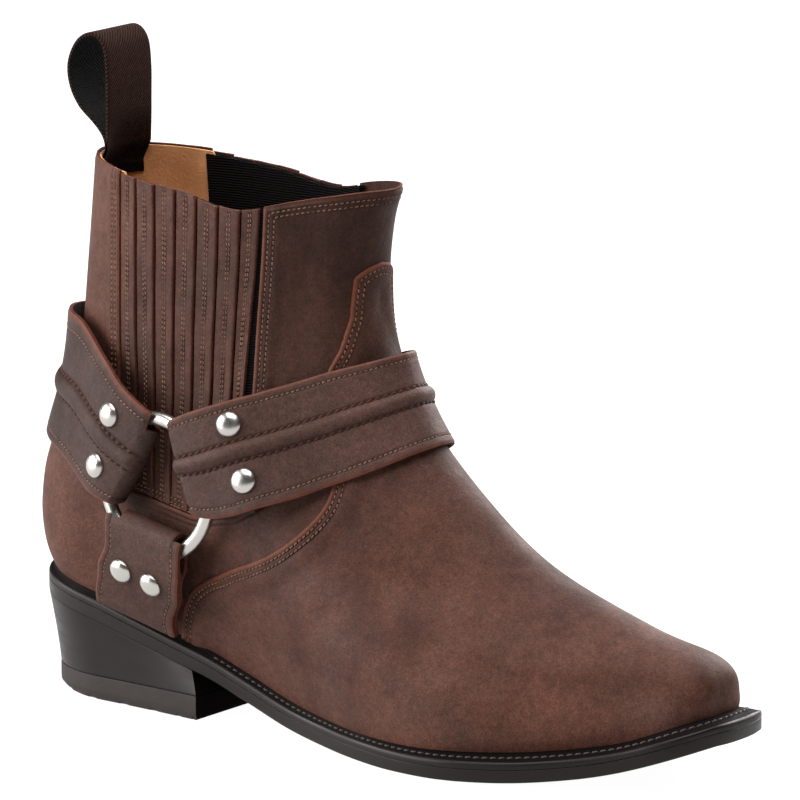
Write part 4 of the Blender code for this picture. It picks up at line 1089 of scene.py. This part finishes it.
def strap(name, mid, us, ws, turn, keep, tone_and_painted_shade, ridge_to=None, doubled=0.0):
    """One strap as a sheet over u and w, without the faces that its notches cut away."""
    u, w = np.meshgrid(us, ws, indexing="ij")
    m, n = strap_face(mid, u, w, turn)
    h, tones = strap_relief(u, w, ridge_to)
    tones["tone_and_painted_shade"] = tone_and_painted_shade(u) + 0 * w
    faces = [f for f in grid_faces(len(us), len(ws)) if keep(u.ravel()[f].mean(), w.ravel()[f].mean())]
    used = np.unique(np.array(faces).ravel())
    back = -np.ones(u.size, int)
    back[used] = np.arange(len(used))
    faces = [[int(back[i]) for i in f] for f in faces]
    top = (m + n * (STRAP / 2 + h)[..., None]).reshape(-1, 3)[used]
    under = (m - n * (STRAP / 2 + doubled * ease(0.9, 1.5, u))[..., None]).reshape(-1, 3)[used]
    slab(name, top, under, faces, [STRAP_HIDE, HIDE_EDGE], [name],
         {k: v.ravel()[used] for k, v in tones.items()})


def bands(*parts):
    """Steps along or across a strap, closer where its form turns."""
    return np.unique(np.concatenate([np.linspace(lo, hi, n) for lo, hi, n in parts]).round(6))


across_ridged = bands((0, 0.02, 4), (0.02, 0.14, 11), (0.14, 0.4, 8), (0.4, 0.64, 27), (0.64, 0.8, 6),
                      (0.8, 0.85, 3), (0.85, 0.98, 11), (0.98, 1.0, 4))
across_plain = bands((0, 0.02, 4), (0.02, 0.14, 11), (0.14, 0.2, 3), (0.2, 0.86, 14), (0.86, 0.9, 4),
                     (0.9, 0.98, 8), (0.98, 1.0, 4))
fold_run = bands((-UNDER_RUN, -0.75, 12), (-0.75, NOTCH_END, 30), (NOTCH_END, 0.5, 12), (0.5, 1.2, 12))
thin = Sewing(pitch=1.95, long=1.6, thick=0.29)
bold = Sewing(pitch=3.0, long=2.5, thick=0.6, slant=0.34)
for name, table, notch, turn in (("front", STRAP_FRONT, 0.8, 1), ("back", STRAP_BACK, 0.85, -1)):
    end = len(table) - 1
    if name == "front":
        tone_and_painted_shade = lambda u: 1.05 + 0.35 * ease(3, 1, np.abs(u - end))
    else:
        tone_and_painted_shade = lambda u: 0.78 - 0.30 * ease(5, 2, np.abs(u - end))

    def mid(u, w, table=table, end=end):
        u, w = np.broadcast_arrays(np.asarray(u, float), np.asarray(w, float))
        one, two = strap_mid(table, u, w, False), strap_mid(table, 2 * end - u, w, True)
        return np.where((u <= end)[..., None], one, two)

    half_run = np.concatenate([fold_run, np.linspace(1.2, end, 72)[1:]])
    us = np.concatenate([half_run, 2 * end - half_run[-2::-1]])
    keep = lambda u, w: not (min(u, 2 * end - u) < NOTCH_END and w > notch)
    strap("strap_" + name, mid, us, across_ridged, turn, keep, tone_and_painted_shade, 2 * end)
    for rows, kind in ((EDGE_ROWS, thin), (RIDGE_ROWS, bold)):
        for r in rows:
            u = np.linspace(0.22, 2 * end - 0.22, 700)
            m, n = strap_face(mid, u, np.full(700, r), turn)
            h = strap_relief(u, np.full(700, r), 2 * end)[0]
            kind.row(m + n * (STRAP / 2 + h)[:, None], n)
for side, flip in SIDES:
    mid = lambda u, w: strap_mid(STRAP_LOW, u, w, flip)
    us = np.concatenate([fold_run, np.linspace(1.2, 3.97, 44)[1:]])
    keep = lambda u, w: not (u < NOTCH_END and not 0.2 < w < 0.9)
    normal = strap_face(mid, np.array([2.0]), np.array([0.5]), 1)[1][0]
    turn = 1 if np.dot(normal, ring_frames[flip][1]) > 0 else -1
    strap("strap_low_" + side, mid, us, across_plain, turn, keep, lambda u: 1.05, doubled=LOW_DOUBLED)
    for r in LOW_ROWS:
        u = np.linspace(0.3, 3.9, 200)
        m, n = strap_face(mid, u, np.full(200, r), turn)
        thin.row(m + n * (STRAP / 2 - 0.25), n)
thin.sewn("strap_edge_stitches")
BOLD_THREAD, _ = finish("red_brown_thread", Base_Color=(0.045, 0.0155, 0.0095, 1), Roughness=0.65,
                        Specular_IOR_Level=0.12)
bold.sewn("strap_ridge_stitches", BOLD_THREAD)

# Rivets: domed nickel caps, two through each folded strap end.
# Each is pressed flat on the leather round it.
RIVET_R, RIVET_H, RIVET_STEPS = 4.7, 2.5, 40
RIVETS = {"front": [(1.95, 0.77), (1.90, 0.25)], "back": [(1.35, 0.74), (1.50, 0.27)],
          "low": [(1.90, 0.30), (2.02, 0.68)]}
CAP = [
    (1.0, -0.15), (1.0, 0.10), (0.985, 0.22), (0.94, 0.36), (0.85, 0.55), (0.72, 0.73), (0.55, 0.87),
    (0.36, 0.96), (0.18, 0.992),
]
rim = (len(CAP) - 1) * RIVET_STEPS
cap_faces = grid_faces(len(CAP), RIVET_STEPS, True)
cap_faces += [[rim + i, rim + (i + 1) % RIVET_STEPS, rim + RIVET_STEPS] for i in range(RIVET_STEPS)]
cap_faces.append(list(range(RIVET_STEPS - 1, -1, -1)))
for strap_name, table in (("front", STRAP_FRONT), ("back", STRAP_BACK), ("low", STRAP_LOW)):
    for side, flip in SIDES:
        mid = lambda u, w: strap_mid(table, u, w, flip)
        for k, (u, w) in enumerate(RIVETS[strap_name], 1):
            at, n = strap_face(mid, np.array(u), np.array(w), 1)
            n = n if np.dot(n, ring_frames[flip][1]) > 0 else -n
            du, dw = np.meshgrid(np.linspace(-0.6, 0.6, 13), np.linspace(-0.18, 0.18, 13))
            around = (mid(u + du, np.clip(w + dw, 0, 1)) - at).reshape(-1, 3)
            over = around @ n
            flat = np.linalg.norm(around - over[:, None] * n, axis=1) < RIVET_R + 0.6
            base = at + n * (over[flat].max() + STRAP / 2 + 0.1)
            out = circle(turns(RIVET_STEPS), n, [0.3, 0.2, 1.0])
            loops = [base + RIVET_R * r * out + n * RIVET_H * h for r, h in CAP]
            node = "rivet_%s_%s_%d" % (strap_name, side, k)
            piece(node, np.vstack(loops + [[base + n * RIVET_H]]), cap_faces, [NICKEL], [node])

# Pull loop: a strip of twill webbing, brown outside and black inside,
# with both ends laid together and sewn inside the back of the collar.
LOOP = [
    (22.2, 190), (21.9, 200), (15.0, 211), (7.0, 222), (5.2, 232), (9.5, 241), (16.5, 244),
    (21.4, 240), (22.9, 230), (22.9, 215), (23.4, 200), (24.4, 190),
]
LOOP_WIDTH, LOOP_THICK = 26.0, 1.6
LOOP_ACROSS = np.array([-1, -0.985, -0.95, -0.8, -0.5, 0, 0.5, 0.8, 0.95, 0.985, 1])
SELVEDGE = np.array([0.55, 0.8, 1, 1, 1, 1, 1, 1, 1, 0.8, 0.55])


def webbing(name, dark, light):
    """Twill woven on the slant, with a little fuzz."""
    m, body = finish(name, Roughness=0.95, Specular_IOR_Level=0.05)
    where = add(m, "CombineXYZ", {"X": painted(m, "run"), "Y": painted(m, "wide")}).outputs["Vector"]
    twill = woven(m, where, 0.42, 0.6, "DIAGONAL", 1.0)
    weft = maths(m, "ADD", maths(m, "MULTIPLY", woven(m, where, 0.75, 0.4, "Y"), 0.5), 0.5)
    fuzz = weigh(m, (maths(m, "MULTIPLY", twill, weft), 0.7), (noise(m, place(m), 700, 3), 0.4))
    plug(m, body, Base_Color=ramp(m, fuzz, (0.2, dark), (0.8, light)), Normal=bump(m, fuzz, 0.5, 0.9))
    return m


WEB_BROWN = webbing("brown_webbing", (0.006, 0.0028, 0.002), (0.045, 0.02, 0.0135))
WEB_BLACK = webbing("black_webbing", (0.003, 0.003, 0.003), (0.02, 0.019, 0.019))
line = smooth(np.arange(len(LOOP)), np.array(LOOP, float), np.linspace(0, len(LOOP) - 1, 220))
run = np.gradient(line, axis=0)
normal = unit(np.column_stack([-run[:, 1], run[:, 0]]))
wide, thick = LOOP_WIDTH / 2 * LOOP_ACROSS, LOOP_THICK / 2 * SELVEDGE
rim_line = form(np.ones(61), np.linspace(-0.13, 0.13, 61))
rim_x = np.interp(-wide, -rim_line[:, 1], rim_line[:, 0])    # back of the collar across the loop


def band(sign):
    """One face of the loop, its ends drawn to the collar's inside."""
    p = line[:, None] + normal[:, None] * (sign * thick)[None, :, None]
    x, z = p[..., 0], p[..., 1]
    sewn_in = rim_x[None] + 1.0 + 3.4 * ease(194, 203, z) + sign * thick[None] * np.sign(normal[:, :1])
    x = x + (sewn_in - x) * (1 - ease(201, 217, z))
    return np.stack([x, np.broadcast_to(wide, x.shape), z], -1).reshape(-1, 3)


front, back, border = sheet_faces(grid_faces(len(line), len(wide)), len(line) * len(wide))
pick = [0] * len(front) + [1] * len(back) + [0] * len(border)
tones = {"run": np.tile(np.repeat(travelled(line), len(wide)), 2), "wide": np.tile(wide, 2 * len(line))}
piece("pull_loop", np.vstack([band(1), band(-1)]), front + back + border, [WEB_BROWN, WEB_BLACK],
      ["pull_loop"], pick, tones)

# Studio: a white floor that runs out of view, soft light from the upper left and behind,
# and the camera at the photograph's angle with a long lens.
FLOOR_OUT, FLOOR_Z = 9, -0.0004  # metres, as everything here
FLOOR, _ = finish("white_floor", Base_Color=(0.15, 0.15, 0.15, 1), Roughness=0.9, Specular_IOR_Level=0.0,
                  Emission_Color=(1, 1, 1, 1), Emission_Strength=0.98)
ground = bpy.data.meshes.new("floor")
corners = ((-1, -1), (1, -1), (1, 1), (-1, 1))
ground.from_pydata([(x * FLOOR_OUT, y * FLOOR_OUT, FLOOR_Z) for x, y in corners], [], [(0, 1, 2, 3)])
ground.materials.append(FLOOR)
floor = bpy.data.objects.new("floor", ground)
bpy.context.scene.collection.objects.link(floor)

world = bpy.data.worlds.new("studio")
bpy.context.scene.world = world
world.use_nodes = True
sky = world.node_tree.nodes["Background"].inputs
sky["Color"].default_value, sky["Strength"].default_value = (1, 1, 1, 1), 0.05

TURN, TILT, AWAY = math.radians(36.5), math.radians(12.2), 3.0
SENSOR, LENS = 36.0, 373.95
target = Vector((0.00048, 0.00882, 0.120))
right = Vector((math.cos(TURN), math.sin(TURN), 0))
ahead = Vector((math.sin(TURN), -math.cos(TURN), 0))
up = Vector((0, 0, 1))
toward = ahead * math.cos(TILT) + up * math.sin(TILT)


def softbox(name, at, size, power):
    """A soft rectangular lamp turned to the boot."""
    lamp = bpy.data.lights.new(name, "AREA")
    lamp.shape, lamp.size, lamp.size_y, lamp.energy = "RECTANGLE", size[0], size[1], power
    obj = bpy.data.objects.new(name, lamp)
    obj.location = at
    obj.rotation_mode = "QUATERNION"
    obj.rotation_quaternion = (Vector(at) - Vector((0, 0, 0.1))).to_track_quat("Z", "Y")
    bpy.context.scene.collection.objects.link(obj)


softbox("key_left", -right * 1.62 + ahead * 0.05 + up * 0.58, (1.8, 1.4), 66)
softbox("back_right", right * 1.0 - ahead * 1.3 + up * 0.9, (1.6, 1.2), 58)
softbox("top", up * 1.9 + ahead * 0.2, (1.8, 1.8), 68)
lens = bpy.data.cameras.new("camera")
lens.sensor_width, lens.lens = SENSOR, LENS
camera = bpy.data.objects.new("camera", lens)
camera.location = target + toward * AWAY
camera.rotation_mode = "QUATERNION"
camera.rotation_quaternion = toward.to_track_quat("Z", "Y")
bpy.context.scene.collection.objects.link(camera)
bpy.context.scene.camera = camera
bpy.context.scene.view_settings.view_transform = "Standard"
